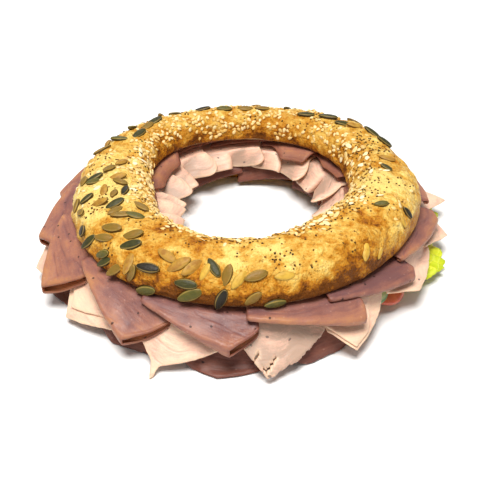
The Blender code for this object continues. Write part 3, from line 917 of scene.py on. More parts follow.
def ripple(angle, radius):
    """A gentle unevenness that all the layers share, so that they stay apart."""
    x, y, _ = ring_point(angle, radius, 0.0)
    large = noise.noise(Vector((x / LARGE_RIPPLE, y / LARGE_RIPPLE, 0.5)))
    small = noise.noise(Vector((x / SMALL_RIPPLE, y / SMALL_RIPPLE, 4.5)))
    return large + 0.35 * small


def uneven(angle, radius, reach):
    """The ripple, slight under the crown and strong past its edge."""
    return ripple(angle, radius) * (0.15 + 0.75 * smooth(reach / 8.0))


def wrinkle(angle, reach, seed):
    """Small folds in a slice that run alongside the crown's edge."""
    value = noise.noise(Vector((angle / 16.0, reach / 3.4, seed * 2.3)))
    return 0.45 * value * smooth((reach + 1.0) / 3.0) * bell(max(reach - 4.0, 0.0), 9.0)


def ragged(along, seed, fineness):
    """Small nicks in a cut edge."""
    value = noise.noise(Vector((along * fineness, seed * 3.7, 0.0)))
    sharp = noise.noise(Vector((along * fineness * 3.1, seed * 9.1, 2.0)))
    return value + 0.5 * sharp


def dark_level(along, reach, fall):
    """Height of an upper dark slice, which falls more steeply towards its end."""
    return DARK_HAM_LEVEL - DARK_STEP * along - past(reach) * (0.15 + fall * along)


def light_level(along, reach, slope):
    """Height of a light slice, which bends down at the crown's edge."""
    far = past(reach - 5.0)
    near = past(reach) - far
    return LIGHT_HAM_LEVEL - HAM_STEP * along - (1.15 + 0.25 * along) * near - slope * far


def lower_level(along, reach):
    """Height of a lower dark slice, which bends down over the base."""
    level = LOWER_HAM_LEVEL - HAM_STEP * along - (1.1 + 0.5 * along) * past(reach + 3.0)
    return above_floor(level, HAM_THICKNESS)


# How wide the mouth of each upper dark slice gapes at its tip
DARK_GAPES = (2.4, 3.2, 2.4, 3.4, 0.8, 0.8, 0.8, 0.8, 0.8, 1.2, 1.0, 1.2, 1.0)

# Upper dark slices paler (above 0) or darker than the rest
DARK_TINTS = {2: 0.35, 4: -0.3, 6: -0.6, 7: 0.15}

# Radius of a dark slice's folded edge, and how much larger it is at the tip
FOLD_RADIUS = 0.8
FOLD_PUFF = 1.0

# Reach into the hole at a dark slice's ends (below 0: back from the hole's edge),
# and how steeply its inner edge droops in the hole
DRAWN_BACK = -4.0
INNER_DROOP = 0.5

# Points along a dark slice, and across it: under the crown, past its edge, round
# the fold, and in the part folded under
DARK_ROWS = 60
DARK_HIDDEN = 6
DARK_SHOWN = 22
DARK_TURN = 8
DARK_BACK = 8


def folded_edge(edge, level, radius, opened):
    """The outer edge of a dark slice in section: rounded, or open like a mouth."""
    line = []
    for j in range(1, DARK_TURN):
        turn = math.pi * j / DARK_TURN
        round_place = (edge + radius * math.sin(turn), level - radius * (1.0 - math.cos(turn)))
        share = 1.0 - abs(j - DARK_TURN / 2.0) / (DARK_TURN / 2.0)
        if j <= DARK_TURN // 2:
            open_place = (edge + radius * share, level - 0.35 * radius * share**2)
        else:
            open_place = (edge + radius * share * 0.4, level - radius * (2.0 - 0.2 * share))
        line.append(tuple(mixed(a, b, opened) for a, b in zip(round_place, open_place)))
    return line


def dark_slice(index, row, finish):
    """A slice folded under along its outer edge, with an open mouth past its tip."""
    start, end, tip, first, peak, last, fall, inside = row
    alongs = stations(DARK_ROWS, tip)
    middle_turn = DARK_HIDDEN + DARK_SHOWN - 1 + DARK_TURN // 2
    paler = DARK_TINTS.get(index, 0.0)
    grid, tint = [], []
    for along in alongs:
        angle = mixed(start, end, along)
        outer = outer_edge(angle)
        drawn_back = max(smooth((along - 0.55) / 0.35), 1.0 - smooth(along / 0.12))
        inner = inner_edge(angle) - mixed(inside, min(inside, DRAWN_BACK), drawn_back)
        reach = outline(along, tip, first, peak, last) + 0.35 * ragged(along, index, 7.0)
        near_tip = bell(along - tip, 0.25)
        radius = FOLD_RADIUS + FOLD_PUFF * near_tip
        edge = outer + reach - radius
        opened = smooth((along - tip) / 0.10)
        gape = bell(max(along - tip, 0.0), 0.3) * bell(min(along - tip, 0.0), 0.16)
        gape *= DARK_GAPES[index - 1]
        line = []
        for j in range(DARK_HIDDEN):
            at = mixed(inner, outer - UNDER_EDGE, j / DARK_HIDDEN)
            line.append((at, dark_level(along, at - outer, fall)))
        for j in range(DARK_SHOWN):
            at = mixed(outer - UNDER_EDGE, edge, j / (DARK_SHOWN - 1))
            line.append((at, dark_level(along, at - outer, fall)))
        line += folded_edge(edge, dark_level(along, edge - outer, fall), radius, opened)
        back = min(1.5 + 6.0 * near_tip, max(reach - 5.5, 1.2))
        for j in range(DARK_BACK):
            at = edge - back * j / (DARK_BACK - 1)
            line.append((at, dark_level(along, at - outer, fall) - 2.0 * radius))
        points, shade = [], []
        for place, (at, height) in enumerate(line):
            lift = uneven(angle, at, at - outer) + wrinkle(angle, at - outer, index)
            lift -= INNER_DROOP * past(inner_edge(angle) - at - 1.0, 1.0)
            lift += gape * smooth((at - edge + 7.0) / 8.0) * (0.65 if place <= middle_turn else -0.15)
            points.append(ring_point(angle, at, height + lift))
            # Orange-brown rind towards the outer edge; the part in the hole is paler, a painted light
            rind = smooth((at - outer - 0.4 * reach) / (0.6 * reach))
            in_hole = smooth((inner_edge(angle) + 3.0 - at) / 4.0)
            shade.append(0.9 * rind - 0.35 + 0.9 * in_hole + paler)
        grid.append(points)
        tint.append(shade)
    kept = all_cells(grid)
    for i, along in enumerate(alongs[:-1]):
        if along >= tip - 1e-6:
            kept[i, middle_turn] = False
    leaves = [(grid, kept, tint)]
    return add_sheet(f"dark_ham_{index:02d}", leaves, HAM_THICKNESS, finish, index)


def pleat_wave(row, along):
    """Where a place along a light slice is in its pleats, 0 on a crest."""
    return math.pi * ((2.0 * row.pleats - 0.7) * along - 0.2)


def frill_point(angle, depth, share, along, row):
    """A point of the pleated edge that hangs into the hole."""
    swell = smooth((share + 0.15) / 0.7)
    wave = pleat_wave(row, along)
    crest = swell * math.cos(wave)
    share *= 1.0 + CREST_LENGTH * crest
    radius = inner_edge(angle) - depth * (1.0 + CREST_DEPTH * crest) + 1.8 * (along - 0.5) * share
    turn = -CREST_SWING * swell * math.cos(wave + 0.3) / radius
    lift = (CREST_RISE[0] + CREST_RISE[1] * share) * crest
    level = LIGHT_HAM_LEVEL - HAM_STEP * along - FRILL_DROP * share + lift
    level += mixed(row.puff_first, row.puff_last, along) * bell(share, 0.35)
    return ring_point(angle + math.degrees(turn), radius - lift * 0.5, level)


# The light slice with small frays past its tip
FRAYED_SLICE = 12

# Light slices of two leaves: how much shorter the upper leaf is, how much it
# draws back at its far end, and how far below it the second leaf lies
LIGHT_DOUBLES = {10: (3.6, 0.0, 1.9), 13: (0.6, 7.0, 1.6)}

# Short tears in light slices: slice, first and last place along it, and first and
# last place across the part past the crown
LIGHT_TEARS = (
    (12, 0.066, 0.13, 0.97, 0.55),
    (12, 0.20, 0.26, 0.97, 0.68),
    (12, 0.28, 0.42, 0.97, 0.72),
)

# Points along a light slice, with one pleat or with more, and across it: in the
# frill, under the crown and past its edge
PLAIN_ROWS = 60
PLEATED_ROWS = 90
LIGHT_FRILL = 18
LIGHT_HIDDEN = 8
LIGHT_SHOWN = 18

# Depth of the frill where it leaves the flat part of its slice
FRILL_ROOT = 0.5


def light_reach(index, row, along):
    """Reach past the crown of a light slice, with its frayed edge or thin strip."""
    tail, tail_width = LIGHT_TAILS.get(index, (0.0, 1.0))
    reach = outline(along, row.tip, row.first, row.peak, row.last)
    reach += 0.3 * ragged(along, index + 40, 8.0) + tail * bell(along - row.tip, tail_width)
    frayed = smooth((along - row.tip) / 0.1) if index == FRAYED_SLICE else 0.0
    return reach + 0.8 * frayed * ragged(along, index, 26.0)


def second_leaf(index, row, drop):
    """The leaf that shows under the outer end of a light slice."""
    grid, tint = [], []
    for along in stations(PLAIN_ROWS, row.tip):
        angle = mixed(row.start, row.end, along)
        outer = outer_edge(angle)
        points = []
        for j in range(LIGHT_SHOWN):
            at = mixed(1.0, light_reach(index, row, along), j / (LIGHT_SHOWN - 1))
            height = light_level(along, at, row.slope) + uneven(angle, outer + at, at)
            points.append(ring_point(angle, outer + at, above_floor(height - drop, HAM_THICKNESS)))
        grid.append(points)
        tint.append([LIGHT_TINTS[index]] * LIGHT_SHOWN)
    return grid, all_cells(grid), tint


def tear(kept, index, alongs):
    """Take the cells of a light slice's tears out of those kept."""
    shown = LIGHT_FRILL + LIGHT_HIDDEN
    for torn_index, first, last, outside, inside in LIGHT_TEARS:
        if torn_index != index:
            continue
        torn = [i for i, along in enumerate(alongs) if first <= along <= last]
        for place, i in enumerate(torn):
            near = round(mixed(outside, inside, (place + 1) / len(torn)) * (LIGHT_SHOWN - 2))
            far = round(mixed(outside, inside, place / len(torn)) * (LIGHT_SHOWN - 2))
            kept[i, shown + near : shown + far + 1] = False


def light_slice(index, row, finish):
    """A slice with a pointed outer end and a pleated inner end."""
    row = LightSlice(*row)
    shorter, narrower, drop = LIGHT_DOUBLES.get(index, (0.0, 0.0, 0.0))
    grid, tint = [], []
    alongs = stations(PLEATED_ROWS if row.pleats > 1 else PLAIN_ROWS, row.tip)
    for along in alongs:
        angle = mixed(row.start, row.end, along)
        outer, inner = outer_edge(angle), inner_edge(angle)
        reach = light_reach(index, row, along) - shorter
        reach -= narrower * smooth((along - 0.45) / 0.35)
        inside = mixed(row.inside_first, row.inside_last, along)
        inside += 0.4 * ragged(along, index + 70, 6.0)
        rounded = 1.0 - 0.4 * (max(abs(2.0 * along - 1.0) - 0.7, 0.0) / 0.3) ** 2
        points, shade = [], []
        for j in range(LIGHT_FRILL):
            share = (1.0 - j / LIGHT_FRILL) * rounded
            depth = mixed(FRILL_ROOT, inside, share)
            points.append(frill_point(angle, depth, share, along, row))
            # Painted shade: darker in the troughs of the pleats and deeper into the frill, lighter on
            # the crests
            shade.append(0.6 * math.cos(pleat_wave(row, along) + 0.5) - 0.35 - 0.25 * share)
        for j in range(LIGHT_HIDDEN + LIGHT_SHOWN):
            if j < LIGHT_HIDDEN:
                at = mixed(inner - FRILL_ROOT, outer - UNDER_EDGE, j / LIGHT_HIDDEN)
            else:
                share = (j - LIGHT_HIDDEN) / (LIGHT_SHOWN - 1)
                at = mixed(outer - UNDER_EDGE, outer + reach, share)
            if j == 0:
                points.append(frill_point(angle, FRILL_ROOT, 0.0, along, row))
            else:
                height = light_level(along, at - outer, row.slope) + uneven(angle, at, at - outer)
                points.append(ring_point(angle, at, above_floor(height, HAM_THICKNESS)))
            shade.append(mixed(-0.35, LIGHT_TINTS.get(index, 0.0), smooth((at - outer + 4.0) / 10.0)))
        grid.append(points)
        tint.append(shade)
    kept = all_cells(grid)
    tear(kept, index, alongs)
    leaves = [(grid, kept, tint)]
    if drop > 0.0:
        leaves.append(second_leaf(index, row, drop))
    return add_sheet(f"light_ham_{index:02d}", leaves, HAM_THICKNESS, finish, index + 20)


# Points along and across a lower dark slice, the share of them that hangs in the
# hole, and how far outside the hole's edge that share begins
LOWER_ROWS = 44
LOWER_COLUMNS = 34
HUNG_SHARE = 0.3
HUNG_FROM = 4.5


def lower_slice(index, row, finish):
    """A flat slice that hangs from under the light ham down to the floor."""
    start, end, tip, first, peak, last, inside_first, inside_last, hang = row
    grid, tint = [], []
    for along in stations(LOWER_ROWS, tip):
        angle = mixed(start, end, along)
        outer, inner = outer_edge(angle), inner_edge(angle)
        reach = outline(along, tip, first, peak, last) + 0.5 * ragged(along, index + 90, 6.0)
        inside = mixed(inside_first, inside_last, along)
        points = []
        for j in range(LOWER_COLUMNS):
            share = j / (LOWER_COLUMNS - 1)
            hung = max(0.0, 1.0 - share / HUNG_SHARE)
            if hung > 0.0:
                level = LOWER_HAM_LEVEL - HAM_STEP * along - hang * (0.8 + 0.4 * along) * hung**1.3
                points.append(ring_point(angle, inner - mixed(-HUNG_FROM, inside, hung), level))
                continue
            at = mixed(inner + HUNG_FROM - outer, reach, (share - HUNG_SHARE) / (1.0 - HUNG_SHARE))
            level = lower_level(along, at) + ripple(angle, outer + at) * 0.4 * smooth(at / 6.0)
            points.append(ring_point(angle, outer + at, above_floor(level, HAM_THICKNESS)))
        grid.append(points)
        tint.append([0.0] * LOWER_COLUMNS)
    leaves = [(grid, all_cells(grid), tint)]
    return add_sheet(f"lower_ham_{index:02d}", leaves, HAM_THICKNESS, finish, index + 50)


# Greens and rounds


# Points along and across a lettuce leaf
LEAF_ROWS = 90
LEAF_COLUMNS = 40

# How far the wave of a leaf's curls turns from start to end, in radians
LEAF_CURLS = 34.0


def lettuce_leaf(index, row, finish):
    """A thin leaf with a ruffled edge, flat where it lies on the base."""
    start, end, edge, inside, level_first, level_last, slope = row
    shown = edge > 0.0
    grid, tint = [], []
    for i in range(LEAF_ROWS + 1):
        along = i / LEAF_ROWS
        angle = mixed(start, end, along)
        outer, inner = outer_edge(angle), inner_edge(angle)
        rounded = math.sin(math.pi * mixed(0.12, 0.88, along)) ** 0.6
        reach = mixed(-3.0, edge, rounded) if shown else edge
        reach += 1.1 * ragged(along, index + 120, 9.0) * (1.0 if shown else 0.3)
        flat = mixed(level_first, level_last, along)
        points, shade = [], []
        for j in range(LEAF_COLUMNS):
            share = j / (LEAF_COLUMNS - 1)
            at = mixed(inner - inside - outer, reach, share)
            free = smooth((at - 2.0) / 12.0) if shown else 0.0
            wave = 0.9 * free * math.sin(6.0 * math.pi * along + 1.3 * share)
            curl = 1.5 * free**2 * math.sin(LEAF_CURLS * along + 3.0 * ragged(along, index, 5.0))
            level = flat - slope * past(at + 4.0) + wave + curl
            points.append(ring_point(angle, outer + at + 0.6 * curl, level))
            # Painted shade: darker green on one side of each curl of the free edge
            shade.append(0.35 + 0.35 * free * (1.0 + math.sin(LEAF_CURLS * along)) / 2.0)
        grid.append(points)
        tint.append(shade)
    leaves = [(grid, all_cells(grid), tint)]
    return add_sheet(f"lettuce_{index:02d}", leaves, LETTUCE_THICKNESS, finish, index + 70)


# Points round a round slice and from its middle to its rim, and the distance in
# metres at which points count as one
ROUND_AROUND = 72
ROUND_RINGS = 14
ONE_POINT = 0.00001


def round_slice(name, row, finish):
    """A disc that lies on the base and bends over its shoulder, with rounded rims."""
    angle, distance, radius, middle_level, thickness = row
    centre = ring_point(angle, distance, 0.0)
    points, rim = [], []
    for side in (1.0, -1.0):
        for k in range(ROUND_RINGS + 1):
            share = k / ROUND_RINGS
            for i in range(ROUND_AROUND):
                turn = 2.0 * math.pi * i / ROUND_AROUND
                x = centre[0] + radius * share * math.cos(turn)
                y = centre[1] + radius * share * math.sin(turn)
                offset = Vector((x - RING_CENTRE[0], y - RING_CENTRE[1]))
                bearing = math.degrees(math.atan2(offset.y, offset.x))
                beyond = offset.length - outer_edge(bearing)
                level = middle_level - ROUND_SLOPE * past(beyond + 4.0)
                swell = math.sqrt(max(1.0 - max(share - 0.9, 0.0) ** 2 * 55.0, 0.2))
                points.append((x, y, level + side * thickness / 2.0 * swell))
                rim.append(smooth((share - 0.92) / 0.06))
    faces = []
    shift = (ROUND_RINGS + 1) * ROUND_AROUND
    for k in range(ROUND_RINGS):
        for i in range(ROUND_AROUND):
            a, b = k * ROUND_AROUND + i, k * ROUND_AROUND + (i + 1) % ROUND_AROUND
            c, d = b + ROUND_AROUND, a + ROUND_AROUND
            faces += [(a, d, c, b), (shift + a, shift + b, shift + c, shift + d)]
    last = ROUND_RINGS * ROUND_AROUND
    for i in range(ROUND_AROUND):
        a, b = last + i, last + (i + 1) % ROUND_AROUND
        faces.append((a, shift + a, shift + b, b))
    made = add_object(name, points, faces, finish, {"rim": rim}, [name])
    joined = made.modifiers.new("closed", "WELD")
    joined.merge_threshold = ONE_POINT
    return made


# Bread


# Points round the crown, over its top, on its cut face and round each lip
CROWN_AROUND = 600
CROWN_OVER = 110
CROWN_UNDER = 10
CROWN_TURN = 5

# Relief of the crust: size of its lumps, dents and pores, and detail in them
RELIEF = ((21.0, 2), (6.0, 3), (1.9, 2))
LUMP_DEPTH = 1.2
DENT_DEPTH = 0.9
PORE_DEPTH = 0.15

# Creases low on the crown: their depth, their angle and reach round the ring, and
# their height above the cut face and reach there
CREASE_DEPTH = 0.35
CREASE_ANGLE = 238.0
CREASE_SPREAD = 22.0
CREASE_LEVEL = 4.5
CREASE_RISE = 3.0

# How baked the crust is on top, how much more at its foot, and how much more there in front, both
# partly real bake and partly painted shade; then the foot's reach upwards and the front's round the
# ring
TOP_BAKE = 0.36
FOOT_BAKE_AND_SHADE = 0.45
FRONT_BAKE_AND_SHADE = 0.55
FOOT_RISE = 9.0
FRONT_ANGLE = 272.0
FRONT_SPREAD = 38.0


def crown_surface(angle, across):
    """A point of the crown's top: across is 0 at its outer edge, 1 at its inner."""
    outer, width, height = crown_size(angle)
    turn = math.pi * across
    reach = math.copysign(abs(math.cos(turn)) ** 0.85, math.cos(turn))
    radius = outer - width / 2.0 + reach * width / 2.0
    rise = max(math.sin(turn), 0.0) ** 0.9
    return radius, CROWN_LEVEL + CROWN_LIP + (height - CROWN_LIP) * rise


def crown_line(angle):
    """The crown's section: its top, the turned-in lips, and the cut face below."""
    outer, inner = outer_edge(angle), inner_edge(angle)
    line = [crown_surface(angle, j / CROWN_OVER) for j in range(CROWN_OVER + 1)]
    turns = [0.5 * math.pi * j / CROWN_TURN for j in range(1, CROWN_TURN + 1)]
    lip = [(CROWN_LIP * (1.0 - math.cos(turn)), CROWN_LIP * (1.0 - math.sin(turn))) for turn in turns]
    for turned_in, rise in lip:
        line.append((inner + turned_in, CROWN_LEVEL + rise))
    for j in range(1, CROWN_UNDER):
        line.append((mixed(inner + CROWN_LIP, outer - CROWN_LIP, j / CROWN_UNDER), CROWN_LEVEL))
    for turned_in, rise in reversed(lip):
        line.append((outer - turned_in, CROWN_LEVEL + rise))
    return line


def ring_faces(around, size):
    """Quads of a closed ring of sections, each of a size in points."""
    i, j = np.meshgrid(np.arange(around), np.arange(size), indexing="ij")
    a = i * size + j
    b = i * size + (j + 1) % size
    c = ((i + 1) % around) * size + (j + 1) % size
    d = ((i + 1) % around) * size + j
    return np.stack((a, d, c, b), axis=-1).reshape(-1, 4)


def ring_normals(grid):
    """Outward normals of a closed ring's grid of points."""
    along = np.roll(grid, -1, axis=0) - np.roll(grid, 1, axis=0)
    over = np.roll(grid, -1, axis=1) - np.roll(grid, 1, axis=1)
    return unit(np.cross(along, over))


def bells(values, middle, width):
    """Humps of height 1 where an array's values are at a middle."""
    return np.exp(-(((values - middle) / width) ** 2))


def spot(grid, angle, across, reach):
    """1 at a place on the crown, fading to 0 around it."""
    centre = np.array(ring_point(angle, *crown_surface(angle, across)))
    return bells(np.linalg.norm(grid - centre, axis=-1), 0.0, reach)


def crown_shape():
    """The crown's points, with its lumps, wrinkles and dents, and how baked it is, with painted shade
    and highlight in that.
    """
    angles = 360.0 * np.arange(CROWN_AROUND) / CROWN_AROUND
    grid = np.array([[ring_point(angle, *place) for place in crown_line(angle)] for angle in angles])
    normals = ring_normals(grid)
    lumps, dents, pores = (
        rough(grid.reshape(-1, 3), size, detail, seed).reshape(grid.shape[:2])
        for seed, (size, detail) in enumerate(RELIEF, 1)
    )
    height = grid[:, :, 2] - CROWN_LEVEL
    free = np.clip(height / 3.0, 0.0, 1.0)
    for angle, across, reach, rise in CROWN_SWELLINGS:
        lumps += rise / LUMP_DEPTH * spot(grid, angle, across, reach)
    creased = bells(angles, CREASE_ANGLE, CREASE_SPREAD)[:, None]
    crease = np.sin(height * 1.9 + 2.0 * dents) * bells(height, CREASE_LEVEL, CREASE_RISE)
    depth = LUMP_DEPTH * lumps + DENT_DEPTH * dents + PORE_DEPTH * pores
    depth += CREASE_DEPTH * creased * crease
    shaped = grid + normals * (depth * free)[:, :, None]
    front = bells(angles, FRONT_ANGLE, FRONT_SPREAD)[:, None]
    foot = (FOOT_BAKE_AND_SHADE + FRONT_BAKE_AND_SHADE * front) * bells(height, 0.0, FOOT_RISE)
    # Browner at the foot and in front, partly painted shade; browner in the hollows and paler on the
    # rises of the dents, painted shade and highlight
    bake = TOP_BAKE + (foot - 0.28 * dents)
    for angle, across, reach, tone in CRUST_AND_HIGHLIGHT_PATCHES:
        bake += tone * 0.6 * spot(grid, angle, across, reach)
    cut = np.clip(1.0 - height / 0.8, 0.0, 1.0)
    return shaped, ring_normals(shaped), bake, cut


def base_line(angle):
    """Corners of the base's section, before they are rounded."""
    outer, inner = outer_edge(angle) - BASE_INSET, inner_edge(angle) + BASE_INSET
    belly = BASE_TOP * 0.5
    return [
        (outer - BASE_FOOT, 0.0),
        (outer - BASE_FOOT * 0.25, belly * 0.4),
        (outer, belly),
        (outer - BASE_SHOULDER, BASE_TOP),
        (inner + BASE_SHOULDER * 0.5, BASE_TOP),
        (inner, belly),
        (inner + BASE_FOOT * 0.5, 0.0),
    ]


# Points round the base and on each side of its section, and rounds of easing
BASE_AROUND = 300
BASE_FINE = 12
BASE_EASINGS = 10


def base_ring(finish):
    """The lower half of the bagel, with a rounded belly and a cut top."""
    grid = []
    for i in range(BASE_AROUND):
        angle = 360.0 * i / BASE_AROUND
        corners = base_line(angle)
        line = []
        for corner, following in zip(corners, corners[1:] + corners[:1]):
            for step in range(BASE_FINE):
                radius, level = (mixed(a, b, step / BASE_FINE) for a, b in zip(corner, following))
                line.append(ring_point(angle, radius, level))
        grid.append(line)
    grid = np.array(grid)
    for _ in range(BASE_EASINGS):
        eased = 0.25 * np.roll(grid, 1, axis=1) + 0.5 * grid + 0.25 * np.roll(grid, -1, axis=1)
        flat_parts = (grid[:, :, 2] < 0.01) | (grid[:, :, 2] > BASE_TOP - 0.01)
        grid = np.where(flat_parts[:, :, None], grid, eased)
    normals = ring_normals(grid)
    points = grid.reshape(-1, 3)
    lumps = rough(points, 14.0, 3, 5.0).reshape(grid.shape[:2])
    free = np.clip(grid[:, :, 2] / 2.0, 0.0, 1.0) * np.clip((BASE_TOP - grid[:, :, 2]) / 2.0, 0.0, 1.0)
    grid = grid + normals * (0.5 * lumps * free - 0.25 * free)[:, :, None]
    # Browner on its lumps and towards the floor
    bake = 0.35 + 0.15 * lumps + 0.2 * np.exp(-grid[:, :, 2] / 3.0)
    cut = np.clip(grid[:, :, 2] - BASE_TOP + 1.0, 0.0, 1.0)
    faces = ring_faces(*grid.shape[:2])
    values = {"bake": bake.ravel(), "cut": cut.ravel()}
    return add_object("base", grid.reshape(-1, 3), faces, finish, values, ["base"])


# Seeds


# Share of a pumpkin seed's thickness that lies in the crust, more for yellow ones
SUNK = 0.38
YELLOW_SUNK = 0.62

# Room kept round a pumpkin seed of full length, room that one on the far side
# needs besides, and most tries to place those
KERNEL_ROOM = 3.6
FAR_ROOM = 4.5
MOST_TRIES = 400

# How far small seeds lie from the middle of their clump, in degrees and across,
# and how near to the crown's edges they come
CLUMP_SPREAD = (2.6, 0.055)
EDGE_ACROSS = 0.03


def seed_template(rings, around, tail, bend):
    """A flattened seed, pointed at one end, of length, width and thickness 1."""
    points, edge = [(-0.5, 0.0, 0.0)], [1.0]
    for i in range(1, rings + 1):
        share = i / (rings + 1)
        swell = math.sin(math.pi * share**tail) ** 0.56
        for j in range(around):
            turn = 2.0 * math.pi * (j + 0.5) / around
            side = swell * math.copysign(abs(math.cos(turn)) ** 0.8, math.cos(turn)) * 0.5
            rise = swell**0.6 * math.sin(turn) * 0.5 + bend * (share - 0.5) ** 2
            points.append((share - 0.5, side, rise))
            edge.append(abs(math.cos(turn)) ** 3)
    points.append((0.5, 0.0, 0.0))
    edge.append(1.0)
    last = len(points) - 1
    faces = []
    for j in range(around):
        k = (j + 1) % around
        faces.append((0, 1 + k, 1 + j))
        faces.append((last, last - around + j, last - around + k))
        for i in range(rings - 1):
            a, b = 1 + i * around + j, 1 + i * around + k
            faces += [(a, b, b + around), (a, b + around, a + around)]
    return np.array(points), np.array(faces), np.array(edge)


class Crown:
    """The crown's finished surface, on which the seeds are laid."""

    def __init__(self):
        self.points, self.normals, self.bake, self.cut = crown_shape()
        self.faces = ring_faces(*self.points.shape[:2])
        vertices = [Vector(point) for point in self.points.reshape(-1, 3)]
        self.tree = BVHTree.FromPolygons(vertices, self.faces.tolist())
        self.view = (CAMERA_AIM - CAMERA_PLACE).normalized()
        self.right = self.view.cross(Vector((0.0, 0.0, 1.0))).normalized()
        self.up = self.right.cross(self.view)

    def add(self, finish):
        """The crown as a piece of the sandwich."""
        values = {"bake": self.bake.ravel(), "cut": self.cut.ravel()}
        points = self.points.reshape(-1, 3)
        return add_object("crown", points, self.faces, finish, values, ["crown"])

    def at(self, angle, across):
        """Point and normal of the surface at an angle and a place across."""
        i = int(round((angle % 360.0) / 360.0 * CROWN_AROUND)) % CROWN_AROUND
        j = int(round(across * CROWN_OVER))
        return Vector(self.points[i, j]), Vector(self.normals[i, j])

    def seen(self, x, y):
        """Point and normal of the surface under a pixel of the photograph."""
        focal = PICTURE * CAMERA_LENS / CAMERA_SENSOR
        for step in range(MOST_STEPS):
            share = STEP_SHARE * step
            across = mixed(x, RING_SHOWN[0], share) - PICTURE / 2.0
            above = PICTURE / 2.0 - mixed(y, RING_SHOWN[1], share)
            ray = self.view * focal + self.right * across + self.up * above
            hit, normal, _, _ = self.tree.ray_cast(CAMERA_PLACE, ray.normalized())
            if hit is not None:
                return hit, normal if normal.dot(ray) < 0.0 else -normal
        raise ValueError(f"no crust under pixel {x}, {y}")

    def seen_direction(self, turn, normal):
        """The direction on the surface that shows at a turn in the photograph."""
        angle = math.radians(turn)
        shown = self.right * math.cos(angle) + self.up * math.sin(angle)
        slant = min(self.view.dot(normal), -0.35)
        return shown - self.view * (shown.dot(normal) / slant)


def seed_frame(place, normal, direction, size, sunk):
    """Matrix of a seed of a size that lies on the surface, sunk by a share."""
    first = (direction - normal * direction.dot(normal)).normalized()
    second = normal.cross(first)
    matrix = Matrix((first * size[0], second * size[1], normal * size[2])).transposed().to_4x4()
    matrix.translation = place + normal * size[2] * (0.5 - sunk)
    return matrix


def add_seeds(name, template, frames, tones, finish):
    """Many seeds of one kind as one joined piece."""
    points, faces, edge = template
    count = len(points)
    laid, flats = [], []
    for k, matrix in enumerate(frames):
        turned = np.array(matrix.to_3x3())
        laid.append(points @ turned.T + np.array(matrix.translation))
        scale = np.linalg.norm(turned, axis=0)
        flats.append(points * scale * METRES + np.array((0.0, 0.0, k * 0.011)))
    joined = np.concatenate([faces + k * count for k in range(len(frames))])
    values = {
        "tone": np.repeat(tones, count),
        "edge": np.tile(edge, len(frames)),
        "flat": np.concatenate(flats),
    }
    return add_object(name, np.concatenate(laid), joined, finish, values, [])


def any_direction(draw):
    return Vector((draw.uniform(-1, 1), draw.uniform(-1, 1), draw.uniform(-1, 1)))


def kernel_size(share):
    """A pumpkin seed's size at a share of the full length and width."""
    length, width, thickness = PUMPKIN_SEED
    return length * share, width * share, thickness


def pumpkin_seeds(crown, finish, taken):
    """Kernels where the photograph shows them, and more on the far side."""
    draw = random.Random(DRAW)
    frames, tones = [], []
    for x, y, turn, tone, share in SEEDS_SHOWN:
        place, normal = crown.seen(x, y)
        direction = crown.seen_direction(turn, normal)
        sunk = YELLOW_SUNK if tone == YELLOW else SUNK
        frames.append(seed_frame(place, normal, direction, kernel_size(share), sunk))
        tones.append(tone)
        taken.append((place, KERNEL_ROOM * share))
    for first, last, outer, inner, count in FAR_SEEDS:
        made, tries = 0, 0
        while made < count and tries < MOST_TRIES:
            tries += 1
            place, normal = crown.at(draw.uniform(first, last), draw.uniform(outer, inner))
            if any((place - other).length < FAR_ROOM + room for other, room in taken):
                continue
            direction = any_direction(draw)
            share = draw.uniform(0.85, 1.1)
            frames.append(seed_frame(place, normal, direction, kernel_size(share), SUNK))
            tones.append(draw.choice((TAN, OLIVE, GREEN, DARK, DARK)))
            taken.append((place, KERNEL_ROOM * share))
            made += 1
    return add_seeds("pumpkin_seeds", seed_template(12, 16, 1.12, 0.15), frames, tones, finish)


def small_seeds(crown, kind, finish, taken):
    """Small seeds strewn over zones in loose clumps, clear of those laid before."""
    name, zones, size, shape, clearance, sunk, clump = kind
    draw = random.Random(DRAW + clump)
    frames, tones = [], []
    for first, last, outer, inner, count in zones:
        made, tries = 0, 0
        while made < count and tries < count * 12:
            tries += 1
            if tries % clump == 1:
                middle = (draw.uniform(first, last), draw.uniform(outer, inner))
            angle = middle[0] + draw.gauss(0.0, CLUMP_SPREAD[0])
            across = middle[1] + draw.gauss(0.0, CLUMP_SPREAD[1])
            place, normal = crown.at(angle, min(max(across, EDGE_ACROSS), 1.0 - EDGE_ACROSS))
            if any((place - other).length < room + clearance for other, room in taken):
                continue
            direction = any_direction(draw)
            share = draw.uniform(0.8, 1.15)
            tilted = (normal + any_direction(draw) * 0.25).normalized()
            scaled = [value * share for value in size]
            frames.append(seed_frame(place, tilted, direction, scaled, sunk))
            tones.append(draw.random())
            taken.append((place, clearance * 0.8))
            made += 1
    return add_seeds(name, seed_template(*shape), frames, tones, finish)


# Camera, floor and light


# Half the floor's side, each light's place, size, power and colour, and the
# strength of the white light from all round
FLOOR_REACH = 3.0
LIGHTS = {
    "key": ((-0.08, -0.30, 1.00), 0.55, 15.5, (1.0, 0.98, 0.95)),
    "sheen": ((-0.10, 0.95, 0.60), 0.5, 2.0, (1.0, 0.99, 0.97)),
}
AROUND_STRENGTH = 0.30


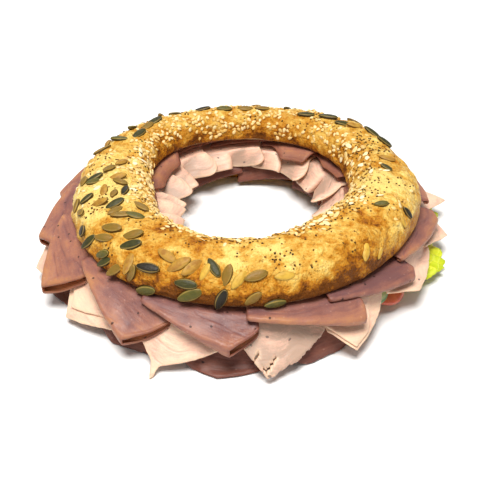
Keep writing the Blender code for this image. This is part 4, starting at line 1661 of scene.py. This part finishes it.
def camera():
    data = bpy.data.cameras.new("camera")
    data.lens = CAMERA_LENS
    data.sensor_width = CAMERA_SENSOR
    data.clip_start = 0.01
    made = bpy.data.objects.new("camera", data)
    made.location = CAMERA_PLACE * METRES
    made.rotation_euler = (CAMERA_AIM - CAMERA_PLACE).to_track_quat("-Z", "Y").to_euler()
    bpy.context.scene.collection.objects.link(made)
    bpy.context.scene.camera = made


def area_light(name, place, size, power, colour):
    """A soft round light that points at the sandwich."""
    data = bpy.data.lights.new(name, "AREA")
    data.shape = "DISK"
    data.size = size
    data.energy = power
    data.color = colour
    made = bpy.data.objects.new(name, data)
    made.location = place
    made.rotation_euler = (-Vector(place)).to_track_quat("-Z", "Y").to_euler()
    bpy.context.scene.collection.objects.link(made)


def studio():
    """A white floor under soft light from above."""
    mesh = bpy.data.meshes.new("floor")
    signs = ((-1, -1), (1, -1), (1, 1), (-1, 1))
    mesh.from_pydata([(FLOOR_REACH * x, FLOOR_REACH * y, 0.0) for x, y in signs], [], [(0, 1, 2, 3)])
    mesh.materials.append(floor_finish())
    floor = bpy.data.objects.new("floor", mesh)
    bpy.context.scene.collection.objects.link(floor)
    for name, settings in LIGHTS.items():
        area_light(name, *settings)
    world = bpy.data.worlds.new("studio")
    world.use_nodes = True
    background = world.node_tree.nodes["Background"]
    background.inputs["Color"].default_value = (1.0, 1.0, 1.0, 1.0)
    background.inputs["Strength"].default_value = AROUND_STRENGTH
    bpy.context.scene.world = world
    bpy.context.scene.view_settings.view_transform = "Standard"


def main():
    camera()
    studio()
    crust = crust_finish()
    crown = Crown()
    crown.add(crust)
    base_ring(crust)
    taken = []
    pumpkin_seeds(crown, pumpkin_finish(), taken)
    for kind, look in zip(SMALL_SEEDS, (oat_finish, sesame_finish, poppy_finish)):
        small_seeds(crown, kind, look(), taken)
    for slice_maker, rows, look in (
        (dark_slice, DARK_SLICES, dark_ham_finish),
        (light_slice, LIGHT_SLICES, light_ham_finish),
        (lower_slice, LOWER_SLICES, lower_ham_finish),
        (lettuce_leaf, LETTUCE_LEAVES, lettuce_finish),
    ):
        finish = look()
        for index, row in enumerate(rows, 1):
            slice_maker(index, row, finish)
    round_slice("tomato_01", TOMATO, tomato_finish())
    round_slice("cucumber_01", CUCUMBER, cucumber_finish())


main()
